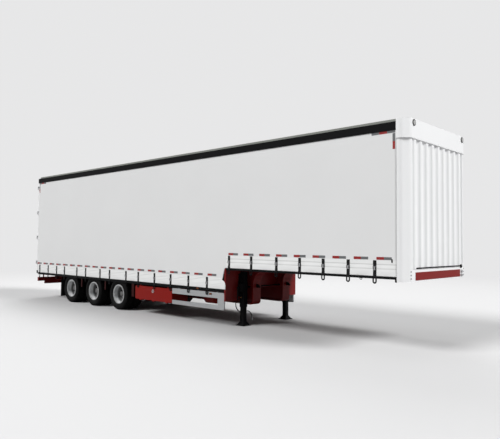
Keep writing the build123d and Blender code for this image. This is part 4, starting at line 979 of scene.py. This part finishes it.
class TRAILER_OT_tapes(bpy.types.Operator):
    """Lays the two-colour reflective tapes on the curtains"""
    bl_idname = "trailer.tapes"
    bl_label = "Reflective tapes"

    def execute(self, context):
        s = sizes()
        half = s.tape_length / 2
        tall = s.tape_height
        start = STEP + UPPER_START
        rows = [(start + s.tape_pitch * i, UPPER_HEM + UPPER_TAPE_RISE) for i in range(UPPER_TAPES)]
        rows += [(x, LOWER_HEM + LOWER_TAPE_RISE) for x in LOWER_TAPES]
        top = PELMET_LOW + 0.004 - tall / 2
        mark = top - tall / 2 - MARK_GAP - MARK_HEIGHT / 2
        ends = ((CURTAIN_HI.x - CORNER_INSET, -1), (CURTAIN_LO.x + CORNER_INSET, 1))

        def bars(*places):
            return [(end + way * BAR_LENGTH * place, top) for end, way in ends for place in places]

        def marks(z):
            return [(end + way * tall / 2, z) for end, way in ends]

        kits = (
            ("row", "red", [(x + half / 2, z) for x, z in rows], half, tall),
            ("bar", "red", bars(1.5), BAR_LENGTH, tall),
            ("mark", "red", marks(mark - MARK_HEIGHT), tall, MARK_HEIGHT),
            ("row", "grey", [(x + 3 * half / 2, z) for x, z in rows], half, tall),
            ("bar", "grey", bars(0.5, 2.5), BAR_LENGTH, tall),
            ("mark", "grey", marks(mark), tall, MARK_HEIGHT),
        )
        for side, sign in SIDES:
            for part, tone, spots, long, high in kits:
                piece = grow(
                    f"tape_{part}_{tone}_{side}", tape_tree, [(x, sign * (SIDE + 0.1), z) for x, z in spots],
                    f"tape_{tone}", Curtain=bpy.data.objects[f"cloth_{side}"], Length=long, Height=high,
                    Lift=TAPE_LIFT, Inward=(0.0, -float(sign), 0.0))
                settle(piece, TRAILER, "curtain")
        return {"FINISHED"}


# Straps: patterns about the origin with their face towards -Y

STRAP_RISE = 0.190
STRAP_HALF = 0.034
BUCKLE_WIDE = 0.032
BUCKLE_TALL = 0.042
BUCKLE_DEEP = 0.0118
CHEEK = 0.005
LINK_WIDE = 0.029
LINK_TALL = 0.048
LINK_CORNER = 0.026
LINK_DROP = -0.027
LINK_WIRE = (0.0150, 0.0048)


def buckle_plate(bm):
    """Back plate and cheeks of an over-centre buckle."""
    add_box(bm, (-BUCKLE_WIDE, -0.0025, -BUCKLE_TALL), (BUCKLE_WIDE, 0, BUCKLE_TALL), 0.0008)
    for x in (-BUCKLE_WIDE, BUCKLE_WIDE - CHEEK):
        add_box(bm, (x, -BUCKLE_DEEP, -BUCKLE_TALL * 0.55), (x + CHEEK, 0, BUCKLE_TALL * 0.75), 0.001)


def buckle_lever(bm):
    """Rollers and lever of an over-centre buckle."""
    roller = BUCKLE_WIDE * 0.7
    reach = BUCKLE_WIDE * 0.5
    for z, y in ((BUCKLE_TALL * 0.52, -0.0075), (-BUCKLE_TALL * 0.8, -0.0065)):
        add_tube(bm, (-roller, y, z), (roller, y, z), 0.004, 8)
    low = (-reach, -BUCKLE_DEEP, -BUCKLE_TALL * 0.9)
    add_box(bm, low, (reach, -BUCKLE_DEEP + 0.0035, BUCKLE_TALL * 0.6), 0.001)


def strap(bm):
    """Webbing strap over the rail's lower edge: strip, sewn loop, sewn top end and stitches."""
    half = STRAP_HALF
    add_box(bm, (-half, -0.0032, 0.014), (half, 0, 0.325), 0.0008)
    add_box(bm, (-half + 0.0005, -0.0064, 0.014), (half - 0.0005, -0.0028, 0.082), 0.0010)
    add_box(bm, (-half + 0.0010, -0.0060, 0.262), (half - 0.0010, -0.0028, 0.320), 0.0010)
    for x in (-0.021, 0.021):
        for low, face in ((0.045, -0.0064), (0.268, -0.0060)):
            for z in (low, low + 0.012, low + 0.024):
                add_box(bm, (x - 0.0012, face - 0.0006, z), (x + 0.0012, face + 0.0004, z + 0.008))


def hook_link(bm):
    """Closed hook link at the rail's lower edge: a flattened wire bent round its corners."""
    rings = []
    for quarter, (x, z) in enumerate(((1, 1), (-1, 1), (-1, -1), (1, -1))):
        corner = Vector((x * (LINK_WIDE - LINK_CORNER), -0.005, z * (LINK_TALL - LINK_CORNER) + LINK_DROP))
        for step in range(4):
            a = math.pi / 2 * (quarter + step / 3)
            out = Vector((math.cos(a), 0, math.sin(a)))
            rings.append(wire_ring(bm, corner + LINK_CORNER * out, out, *LINK_WIRE))
    add_loft(bm, rings)


class TRAILER_OT_straps(bpy.types.Operator):
    """Puts a webbing strap, a hook link and an over-centre buckle at every strap's place"""
    bl_idname = "trailer.straps"
    bl_label = "Straps, links and buckles"

    def execute(self, context):
        rail = [(p.x, CLOTH_FACE, p.z - STRAP_RISE) for p in BUCKLES]
        held = [(p.x, BUCKLE_FACE - 0.012, p.z) for p in BUCKLES]
        kits = (
            ("straps", strap, rail, "strap_webbing", None, "strap", "curtain_straps"),
            ("links", hook_link, rail, "black_enamel", 0, "steel", "curtain_straps"),
            ("buckles", buckle_plate, held, "buckle_steel", None, "steel", "curtain_buckles"),
            ("levers", buckle_lever, held, "lever_steel", None, "steel", "curtain_buckles"),
        )
        for name, build, spots, material, sharp, slot, node in kits:
            pattern = show(f"{name}_pattern", mesh_of(f"{name}_pattern", build, material, sharp))
            for side, sign in SIDES:
                piece = grow(
                    f"{name}_{side}", copies_tree, [(x, sign * y, z) for x, y, z in spots], material,
                    Pattern=pattern, Turn=(0.0, 0.0, 0.0 if sign < 0 else math.pi))
                settle(piece, TRAILER, slot, node)
            bpy.data.objects.remove(pattern)
        return {"FINISHED"}


# Wheels

# Half section of a tyre from its bead to its crown, as (offset, radius)
TYRE_WALL = (
    (0.0946, 0.2480), (0.0946, 0.2652), (0.104, 0.272), (0.119, 0.292), (0.1285, 0.316), (0.1325, 0.340),
    (0.1310, 0.362), (0.1275, 0.384), (0.1215, 0.404),
)
TYRE_LUGS = ((0.1190, 0.4055), (0.1120, 0.419), (0.106, AXLE_Z - 0.004), (0.098, AXLE_Z - 0.0005))
TREAD_EDGE = 0.076
GROOVES = (0.068, 0.026)
LUG_CUT = 0.0075
TWIN_HALF = 0.15
NUT_HEIGHT = 0.036
NUT_SEAT = 0.010


def tyre_section():
    """Whole section of a tyre, as (offset, radius, depth of the notches)."""
    floor = AXLE_Z - sizes().groove
    half = [(y, r, 0) for y, r in TYRE_WALL] + [(y, r, LUG_CUT) for y, r in TYRE_LUGS]
    half.append((TREAD_EDGE, AXLE_Z, 0))
    for middle in GROOVES:
        shape = ((0.0055, AXLE_Z), (0.004, floor), (-0.004, floor), (-0.0055, AXLE_Z))
        half += [(middle + shift, r, 0) for shift, r in shape]
    return half + [(-y, r, notch) for y, r, notch in reversed(half)]


def twin_tyres(bm, x, sign):
    """Twin tyres about one axle: rounded walls, four grooves and notched shoulders."""
    section = tyre_section()
    steps = 2 * sizes().lugs
    for shift in (-TWIN_HALF, TWIN_HALF):
        middle = sign * (TWIN_Y + shift)
        rings = []
        for k in range(steps):
            a = 2 * math.pi * (k + 0.5) / steps
            ring = []
            for y, r, notch in section:
                reach = r - notch * (k % 2)
                ring.append(bm.verts.new((x + reach * math.sin(a), middle + y, AXLE_Z + reach * math.cos(a))))
            rings.append(ring)
        add_loft(bm, rings)


class TRAILER_OT_tyres(bpy.types.Operator):
    """Makes the tyres with rounded walls and tread"""
    bl_idname = "trailer.tyres"
    bl_label = "Tyres"

    def execute(self, context):
        for number, x in enumerate(AXLES, 1):
            for side, sign in SIDES:
                add_piece(
                    f"tread_{number}_{side}", lambda bm: twin_tyres(bm, x, sign), "tyre_rubber",
                    f"wheel_{number}_{side}", "tyre", f"tyres_{number}_{side}", sharp=38)
        return {"FINISHED"}


class TRAILER_OT_wheel_nuts(bpy.types.Operator):
    """Rings each hub with its wheel nuts"""
    bl_idname = "trailer.wheel_nuts"
    bl_label = "Wheel nuts"

    def execute(self, context):
        s = sizes()
        for number, x in enumerate(AXLES, 1):
            for side, sign in SIDES:
                spot = (x, sign * (TWIN_Y + NUT_SEAT + NUT_HEIGHT / 2), AXLE_Z)
                piece = grow(
                    f"nuts_{number}_{side}", nut_ring_tree, [(0, 0, 0)], "zinc_steel", Count=s.nuts,
                    Circle=s.nut_circle, Size=s.nut, Height=NUT_HEIGHT, Place=spot,
                    Turn=(math.pi / 2, 0.0, 0.0))
                settle(piece, f"wheel_{number}_{side}", "steel")
        return {"FINISHED"}


# Fasteners and seals

# The header's rivets across the front and a post's rivets upwards
HEADER_RIVETS = [i * 0.12 - 1.02 for i in range(18)]
POST_RIVETS = [i / 23 for i in range(24)]
POST_INSET = 0.05
RIVET_HEIGHT = 0.004
# Pairs of bolts along the side guard, as shares of its length
GUARD_BOLTS = (0.08, 0.5, 0.92)
# Bolts of the leg's plate: its face before the step, its middle inside the leg's outer face, and its two rows
LEG_PLATE = 0.0235
LEG_MIDDLE = 0.090
LEG_BOLTS_Y = (-0.077, 0.077)
LEG_BOLTS_Z = (0.70, 0.82, 0.94, 1.06)
# A door's inner face before the rear frame's back, and its outer edge inside the trailer's side
DOOR_FACE = 0.054
DOOR_EDGE = 0.101
SEAL_WIDTH = 0.025


class TRAILER_OT_fasteners(bpy.types.Operator):
    """Sets rivets and bolts on the body, rails and legs"""
    bl_idname = "trailer.fasteners"
    bl_label = "Rivets and bolts"

    def execute(self, context):
        s = sizes()
        ahead = (0.0, math.pi / 2, 0.0)
        across = [(HEADER_HI.x + 0.001, y, HEADER_LO.z + 0.02) for y in HEADER_RIVETS]
        kits = [("rivets_header", across, 8, s.rivet, RIVET_HEIGHT, ahead, "white_paint", "white_panel")]
        for side, sign in SIDES:
            out = (-sign * math.pi / 2, 0.0, 0.0)
            low, high = POST_LO.z + POST_INSET, POST_HI.z - POST_INSET
            post = [(POST_LO.x + 0.018, sign * SIDE, low + (high - low) * share) for share in POST_RIVETS]
            xs = [GUARD_LO.x + (GUARD_HI.x - GUARD_LO.x) * share for share in GUARD_BOLTS]
            guard = [(x + dx, sign * GUARD_HI.y, GUARD_HI.z - 0.065) for x in xs for dx in (-0.03, 0.03)]
            middle = sign * (LEG_HI.y - LEG_MIDDLE)
            leg = [(STEP + LEG_PLATE, middle + dy, z) for dy in LEG_BOLTS_Y for z in LEG_BOLTS_Z]
            kits += [
                (f"rivets_post_{side}", post, 8, s.rivet, RIVET_HEIGHT, out, "white_paint", "white_panel"),
                (f"bolts_guard_{side}", guard, 6, s.bolt * 0.8, 0.006, out, "zinc_steel", "steel"),
                (f"bolts_leg_{side}", leg, 6, s.bolt, 0.008, ahead, "black_enamel", "steel"),
            ]
        for name, spots, sides, size, height, turn, material, slot in kits:
            piece = grow(name, stud_tree, spots, material, Sides=sides, Size=size, Height=height, Turn=turn)
            settle(piece, TRAILER, slot)
        return {"FINISHED"}


def door_seal(bm, sign):
    """Rubber frame on a rear door's inner face."""
    face = REAR_FRAME.x + DOOR_FACE
    inner, outer = DOOR_LO.y, SIDE - DOOR_EDGE
    low, high = DOOR_LO.z, DOOR_HI.z
    spans = (
        (inner, low, inner + SEAL_WIDTH, high), (outer - SEAL_WIDTH, low, outer, high),
        (inner + SEAL_WIDTH, low, outer - SEAL_WIDTH, low + SEAL_WIDTH),
        (inner + SEAL_WIDTH, high - SEAL_WIDTH, outer - SEAL_WIDTH, high),
    )
    for y0, z0, y1, z1 in spans:
        add_slab(bm, sign, (face - 0.004, y0, z0), (face + 0.001, y1, z1), 0.0015)


class TRAILER_OT_door_seals(bpy.types.Operator):
    """Frames each rear door with its rubber seal"""
    bl_idname = "trailer.door_seals"
    bl_label = "Door seals"

    def execute(self, context):
        for side, sign in SIDES:
            add_piece(
                f"door_seal_{side}", lambda bm: door_seal(bm, sign), "seal_rubber", f"rear_door_{side}",
                "rubber")
        return {"FINISHED"}


# Air line

# Route of the air line in metres: out of the beam, past the clip on the leg, and down to its loose end
AIR_LINE = (
    (2.0845, -0.6000, 0.475), (2.0845, -0.6000, 0.415), (2.1175, -0.6105, 0.350), (2.1805, -0.6285, 0.305),
    (2.2605, -0.6495, 0.283), (2.3445, -0.6695, 0.281), (2.4225, -0.6855, 0.294), (2.4925, -0.6900, 0.316),
    (2.5545, -0.6900, 0.333), (2.6145, -0.6900, 0.325), (2.6645, -0.6900, 0.288), (2.6945, -0.6900, 0.236),
    (2.7065, -0.6900, 0.182),
)
LINE_R = 0.011
CLIP_POINT = 7
# Ferrule, hexagon and threaded nose of the end fitting, as (start, stop, radius, sides)
LINE_END = (
    (-0.004, 0.014, 0.0135, 16), (0.014, 0.028, 0.0168, 6), (0.028, 0.036, 0.0115, 16),
    (0.036, 0.045, 0.0095, 16),
)


class TRAILER_OT_air_line(bpy.types.Operator):
    """Hangs the air line with its clip and end fitting"""
    bl_idname = "trailer.air_line"
    bl_label = "Air line"

    def execute(self, context):
        curve = bpy.data.curves.new("air_line", "CURVE")
        curve.dimensions = "3D"
        spline = curve.splines.new("NURBS")
        spline.points.add(len(AIR_LINE) - 1)
        for point, spot in zip(spline.points, AIR_LINE):
            point.co = (*spot, 1)
        spline.use_endpoint_u = True
        spline.order_u = 3
        curve.resolution_u = 8
        curve.bevel_depth = LINE_R
        curve.bevel_resolution = 3
        curve.use_fill_caps = True
        curve.materials.append(MATERIALS["flap_rubber"])
        line = show("air_line", curve)
        settle(line, TRAILER, "rubber", "air_hose")
        fitting = add_piece("air_line_end", self.end_fitting, "dark_steel", TRAILER, "steel", "air_hose")
        add_piece("air_line_clip", self.clip, "zinc_steel", TRAILER, "steel", "air_hose")
        return {"FINISHED"}

    def end_fitting(self, bm):
        """Plain fitting in line with the hose's end."""
        end = Vector(AIR_LINE[-1])
        way = (end - Vector(AIR_LINE[-2])).normalized()
        for start, stop, radius, sides in LINE_END:
            add_tube(bm, end + way * start, end + way * stop, radius, sides)

    def clip(self, bm):
        """Band round the hose on a foot against the leg, with its screw."""
        spot = Vector(AIR_LINE[CLIP_POINT])
        way = (Vector(AIR_LINE[CLIP_POINT + 1]) - Vector(AIR_LINE[CLIP_POINT - 1])).normalized()
        leg = -LEG_HI.y + 0.1425
        add_tube(bm, spot - way * 0.010, spot + way * 0.010, LINE_R + 0.0025, 16)
        foot = (spot.x - 0.010, leg, spot.z - 0.016)
        add_box(bm, foot, (spot.x + 0.010, leg + 0.006, spot.z + 0.040), 0.0015)
        add_tube(bm, (spot.x, leg + 0.005, spot.z + 0.028), (spot.x, leg + 0.012, spot.z + 0.028), 0.007, 6)


# Small fittings

# Bend of the tie hook under the upper rail, as (along X, over the rail's lower edge)
TIE_HOOK = ((-0.022, 0.0), (-0.018, -0.026), (0.018, -0.026), (0.022, 0.0))
# Middles of the side markers: one low on the rail and one on the guard's top bar
MARKER_SPOTS = ((FRONT - 5.375, SIDE, RAIL_LO.z + 0.045), (FRONT - 4.934, GUARD_HI.y, GUARD_HI.z - 0.060))
KNOB_Z = 0.64
KNOB_STEPS = ((-0.001, 0.008, 0.016), (0.008, 0.016, 0.009), (0.016, 0.024, 0.013))
POST_BOLTS_Y = 1.128
POST_BOLTS_Z = (1.298, 1.358, 1.418)
HANDLE_R = 0.0405
HANDLE_WIRE = (0.0055, 0.0045)
HANDLE_STEPS = 28


class TRAILER_OT_small_fittings(bpy.types.Operator):
    """Adds the dark front strip that also stands in for shade over the sill, hooks, side markers, buffers, lid
    handles, leg knobs, bolts and sealer beads
    """
    bl_idname = "trailer.small_fittings"
    bl_label = "Small fittings"

    def execute(self, context):
        add_piece("front_strip", self.front_strip, "seal_rubber", TRAILER, "rubber")
        kits = (
            ("hooks", self.hooks, "black_enamel", "steel"),
            ("side_markers", self.side_markers, "amber_lens", "clear_lens"),
            ("marker_bases", self.marker_bases, "seal_rubber", "rubber"),
            ("buffers", self.buffers, "seal_rubber", "rubber"),
            ("leg_knobs", self.leg_knobs, "brass", "steel"),
            ("post_bolts", self.post_bolts, "dark_steel", "steel"),
            ("post_beads", self.post_beads, "white_paint", "white_panel"),
        )
        for side, sign in SIDES:
            for name, maker, material, slot in kits:
                add_piece(f"{name}_{side}", lambda bm: maker(bm, sign), material, TRAILER, slot)
            add_piece(
                f"lid_handle_{side}", lambda bm: self.lid_handle(bm, side, sign), "zinc_steel",
                f"tool_box_lid_{side}", "steel", sharp=40)
        return {"FINISHED"}

    def front_strip(self, bm):
        """Dark rubber strip over the sill's top edge, which also stands in for the shade in the gap there, with
        its catch at the left end.
        """
        face = WALL_HI.x
        z = SILL_TOP
        # Dark strip where the gap over the sill lies in shade: rubber seal and painted shade in one
        add_box(bm, (face - 0.004, -0.950, z + 0.008), (face + 0.006, 1.000, z + 0.030), 0.003)
        add_box(bm, (face - 0.002, -0.948, z + 0.015), (face + 0.009, 0.998, z + 0.023), 0.002)
        add_box(bm, (face - 0.004, 0.950, z - 0.025), (face + 0.016, 1.004, z + 0.045), 0.005)
        add_tube(bm, (face + 0.014, 0.977, z + 0.010), (face + 0.026, 0.977, z + 0.010), 0.014, 12)

    def hooks(self, bm, sign):
        """Curtain hook near the front post, and a tie hook under the upper rail."""
        x = CURTAIN_HI.x - 0.086
        y = CLOTH_FACE
        z = UPPER_HEM + 0.274
        add_slab(bm, sign, (x - 0.013, y - 0.001, z - 0.030), (x + 0.013, y + 0.006, z + 0.030))
        add_slab(bm, sign, (x - 0.006, y + 0.005, z - 0.026), (x + 0.006, y + 0.013, z + 0.012))
        x = FRONT - 0.95
        low = UPPER_HEM - 0.047
        add_slab(bm, sign, (x - 0.030, SIDE - 0.022, low - 0.006), (x + 0.030, SIDE - 0.004, low + 0.001))
        bend = [(x + dx, sign * (SIDE - 0.013), low + dz) for dx, dz in TIE_HOOK]
        for start, stop in zip(bend, bend[1:]):
            add_tube(bm, start, stop, 0.005, 8)

    def side_markers(self, bm, sign):
        """Amber lenses with five ribs."""
        for x, y, z in MARKER_SPOTS:
            add_slab(bm, sign, (x - 0.036, y + 0.002, z - 0.014), (x + 0.036, y + 0.012, z + 0.014), 0.004)
            for rib in (x + 0.012 * step for step in range(-2, 3)):
                low = (rib - 0.002, y + 0.011, z - 0.011)
                add_slab(bm, sign, low, (rib + 0.002, y + 0.0135, z + 0.011), 0.0008)

    def marker_bases(self, bm, sign):
        """Rubber bases of the side markers."""
        for x, y, z in MARKER_SPOTS:
            add_slab(bm, sign, (x - 0.043, y - 0.001, z - 0.020), (x + 0.043, y + 0.005, z + 0.020))

    def buffers(self, bm, sign):
        """Ribbed rubber buffer on the rear frame's lower corner."""
        rear = REAR_FRAME.x
        z = REAR_FRAME.z + 0.045
        add_slab(bm, sign, (rear + 0.012, SIDE - 0.002, z), (rear + 0.100, SIDE + 0.016, z + 0.090), 0.006)
        for low in (z + 0.010, z + 0.036, z + 0.062):
            rib = (rear + 0.020, SIDE + 0.014, low)
            add_slab(bm, sign, rib, (rear + 0.092, SIDE + 0.020, low + 0.016), 0.004)

    def leg_knobs(self, bm, sign):
        """Gear knob on the leg's outer face."""
        x = (LEG_LO.x + LEG_HI.x) / 2
        face = LEG_HI.y - 0.0275
        for start, stop, radius in KNOB_STEPS:
            add_tube(bm, (x, sign * (face + start), KNOB_Z), (x, sign * (face + stop), KNOB_Z), radius, 12)

    def post_bolts(self, bm, sign):
        """Three bolts low on the corner post, in line with the sill, set square to the surface."""
        for z in POST_BOLTS_Z:
            start = (FRONT + 0.2, sign * POST_BOLTS_Y, z)
            spot, out = touch(("corner_posts", "front_sill"), start, (-1, 0, 0))
            add_tube(bm, spot - out * 0.002, spot + out * 0.003, 0.012, 12)
            add_tube(bm, spot + out * 0.002, spot + out * 0.009, 0.0085, 6)

    def post_beads(self, bm, sign):
        """Bead of sealer in the half flute beside the corner post."""
        face = WALL_HI.x
        edge = WALL_HI.y
        corners = ((face - 0.0005, edge), (face - 0.0420, edge), (face - 0.0355, edge - 0.035))
        low, high = [[bm.verts.new((x, sign * y, z)) for x, y in corners] for z in (WALL_LO.z, WALL_HI.z)]
        for i, j in ((0, 1), (1, 2), (2, 0)):
            bm.faces.new([low[i], low[j], high[j], high[i]])
        bm.faces.new(low)
        bm.faces.new(high)

    def lid_handle(self, bm, side, sign):
        """Ring and folding handle over the lid's round latch."""
        low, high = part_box(f"tool_box_lid_{side}")
        x = (low.x + high.x) / 2
        z = (BOX_LO.z + BOX_HI.z) / 2 + 0.060
        face = max(abs(low.y), abs(high.y))
        middle = Vector((x, sign * (face + 0.0005), z))
        turns = [2 * math.pi * k / HANDLE_STEPS for k in range(HANDLE_STEPS)]
        outs = [Vector((math.cos(a), 0, math.sin(a))) for a in turns]
        add_loft(bm, [wire_ring(bm, middle + HANDLE_R * out, out, *HANDLE_WIRE) for out in outs])
        add_slab(bm, sign, (x - 0.0085, face - 0.004, z - 0.034), (x + 0.0085, face + 0.004, z + 0.034))


# Stage

FLOOR_REACH = 140
FLOOR_DROP = 0.0005
FLOOR_FADE = (9, 24)
SKY = (0.98, 0.99, 1.0)
SKY_STRENGTH = 0.15
# Soft lights high up, as (name, place, strength, angle): a key from the front, a fill on the right-hand side
# and a weaker one from behind
LAMPS = (
    ("key", (14.0, 5.0, 11.5), 3.25, 22), ("fill", (-4.0, -12.0, 13.4), 3.0, 25),
    ("back", (-9.0, 9.0, 11.0), 1.2, 35),
)
# The photograph's camera, worked out from the trailer's corners
CAMERA_SPOT = (11.126, -9.771, 1.883)
CAMERA_YAW, CAMERA_PITCH, CAMERA_ROLL = [math.radians(angle) for angle in (43.165, 2.531, 0.516)]
SENSOR = 36
FOCAL = 38.80


class TRAILER_OT_stage(bpy.types.Operator):
    """Sets the floor, the soft light and the camera"""
    bl_idname = "trailer.stage"
    bl_label = "Stage"

    def execute(self, context):
        context.scene.view_settings.view_transform = "Standard"
        self.floor()
        self.world(context.scene)
        self.lamps()
        self.camera(context.scene)
        return {"FINISHED"}

    def floor(self):
        """Pale floor that fades into the backdrop's colour away from the trailer."""
        mesh = bpy.data.meshes.new("studio_floor")
        corners = [(x * FLOOR_REACH, y * FLOOR_REACH, 0) for x, y in ((-1, -1), (1, -1), (1, 1), (-1, 1))]
        mesh.from_pydata(corners, [], [(0, 1, 2, 3)])
        floor = show("studio_floor", mesh)
        floor.location = (0, 0, -FLOOR_DROP)
        material, tree, shader = skin("studio_floor")
        tone = colours().floor
        seen = put(tree, "ShaderNodeLightPath")["Is Camera Ray"]
        bounce, shown = [tuple(share * part for part in tone) for share in (0.3, 0.60)]
        feed(tree, shader, Base_Color=mixed(tree, seen, bounce, shown), Roughness=0.9)
        away = spread(tree, vectors(tree, "LENGTH", spot_of(tree))["Value"], 0, 1, *FLOOR_FADE, soft=True)
        glow = put(tree, "ShaderNodeEmission", Color=tone)[0]
        fade = maths(tree, "MULTIPLY", away, seen)
        both = put(tree, "ShaderNodeMixShader", fade, shader.outputs[0], glow)[0]
        tree.links.new(both, tree.nodes["Material Output"].inputs["Surface"])
        mesh.materials.append(material)

    def world(self, scene):
        """Even sky light, and the backdrop's colour for what the camera sees directly or in a reflection."""
        world = bpy.data.worlds.new("studio")
        scene.world = world
        world.use_nodes = True
        tree = world.node_tree
        sky = tree.nodes["Background"]
        feed(tree, sky, Color=SKY, Strength=SKY_STRENGTH)
        back = put(tree, "ShaderNodeBackground", Color=colours().floor)[0]
        rays = put(tree, "ShaderNodeLightPath")
        seen = maths(tree, "MAXIMUM", rays["Is Camera Ray"], rays["Is Glossy Ray"])
        seen = maths(tree, "MAXIMUM", seen, rays["Is Transmission Ray"])
        both = put(tree, "ShaderNodeMixShader", seen, sky.outputs[0], back)[0]
        tree.links.new(both, tree.nodes["World Output"].inputs["Surface"])

    def lamps(self):
        """The soft lights, all aimed at the origin."""
        for name, spot, strength, angle in LAMPS:
            lamp = bpy.data.lights.new(name, "SUN")
            lamp.energy = strength
            lamp.angle = math.radians(angle)
            holder = show(name, lamp)
            holder.location = spot
            holder.rotation_euler = (-Vector(spot)).to_track_quat("-Z", "Y").to_euler()

    def camera(self, scene):
        """Camera at the photograph's place."""
        flat = math.cos(CAMERA_PITCH)
        ahead = Vector((-math.sin(CAMERA_YAW) * flat, math.cos(CAMERA_YAW) * flat, math.sin(CAMERA_PITCH)))
        right = Vector((math.cos(CAMERA_YAW), math.sin(CAMERA_YAW), 0))
        up = right.cross(ahead)
        tilted_right = math.cos(CAMERA_ROLL) * right + math.sin(CAMERA_ROLL) * up
        tilted_up = math.cos(CAMERA_ROLL) * up - math.sin(CAMERA_ROLL) * right
        lens = bpy.data.cameras.new("camera")
        lens.sensor_width = SENSOR
        lens.lens = FOCAL
        lens.clip_end = 500
        camera = show("camera", lens)
        turn = Matrix((tilted_right, tilted_up, -ahead)).transposed().to_4x4()
        camera.matrix_world = Matrix.Translation(CAMERA_SPOT) @ turn
        scene.camera = camera


STEPS = (
    TRAILER_OT_finishes, TRAILER_OT_air_line, TRAILER_OT_curtains, TRAILER_OT_tapes, TRAILER_OT_straps,
    TRAILER_OT_tyres, TRAILER_OT_wheel_nuts, TRAILER_OT_fasteners, TRAILER_OT_small_fittings,
    TRAILER_OT_door_seals, TRAILER_OT_stage,
)


class TRAILER_PT_panel(bpy.types.Panel):
    """Lists the trailer's pieces, sizes and colours"""
    bl_idname = "TRAILER_PT_panel"
    bl_label = "Trailer"
    bl_space_type = "VIEW_3D"
    bl_region_type = "UI"
    bl_category = "Trailer"

    def draw(self, context):
        for step in STEPS:
            self.layout.operator(step.bl_idname)
        for group in (context.scene.trailer_sizes, context.scene.trailer_colours):
            for name in group.bl_rna.properties.keys():
                if name not in ("rna_type", "name"):
                    self.layout.prop(group, name)


CLASSES = (TrailerSizes, TrailerColours, *STEPS, TRAILER_PT_panel)


def register():
    for cls in CLASSES:
        bpy.utils.register_class(cls)
    bpy.types.Scene.trailer_sizes = bpy.props.PointerProperty(type=TrailerSizes)
    bpy.types.Scene.trailer_colours = bpy.props.PointerProperty(type=TrailerColours)


def unregister():
    del bpy.types.Scene.trailer_sizes
    del bpy.types.Scene.trailer_colours
    for cls in reversed(CLASSES):
        bpy.utils.unregister_class(cls)


def main():
    register()
    bpy.ops.trailer.finishes()
    bpy.ops.trailer.air_line()
    bpy.ops.trailer.curtains()
    bpy.ops.trailer.tapes()
    bpy.ops.trailer.straps()
    bpy.ops.trailer.tyres()
    bpy.ops.trailer.wheel_nuts()
    bpy.ops.trailer.fasteners()
    bpy.ops.trailer.small_fittings()
    bpy.ops.trailer.door_seals()
    bpy.ops.trailer.stage()


if __name__ == "__main__":
    main()
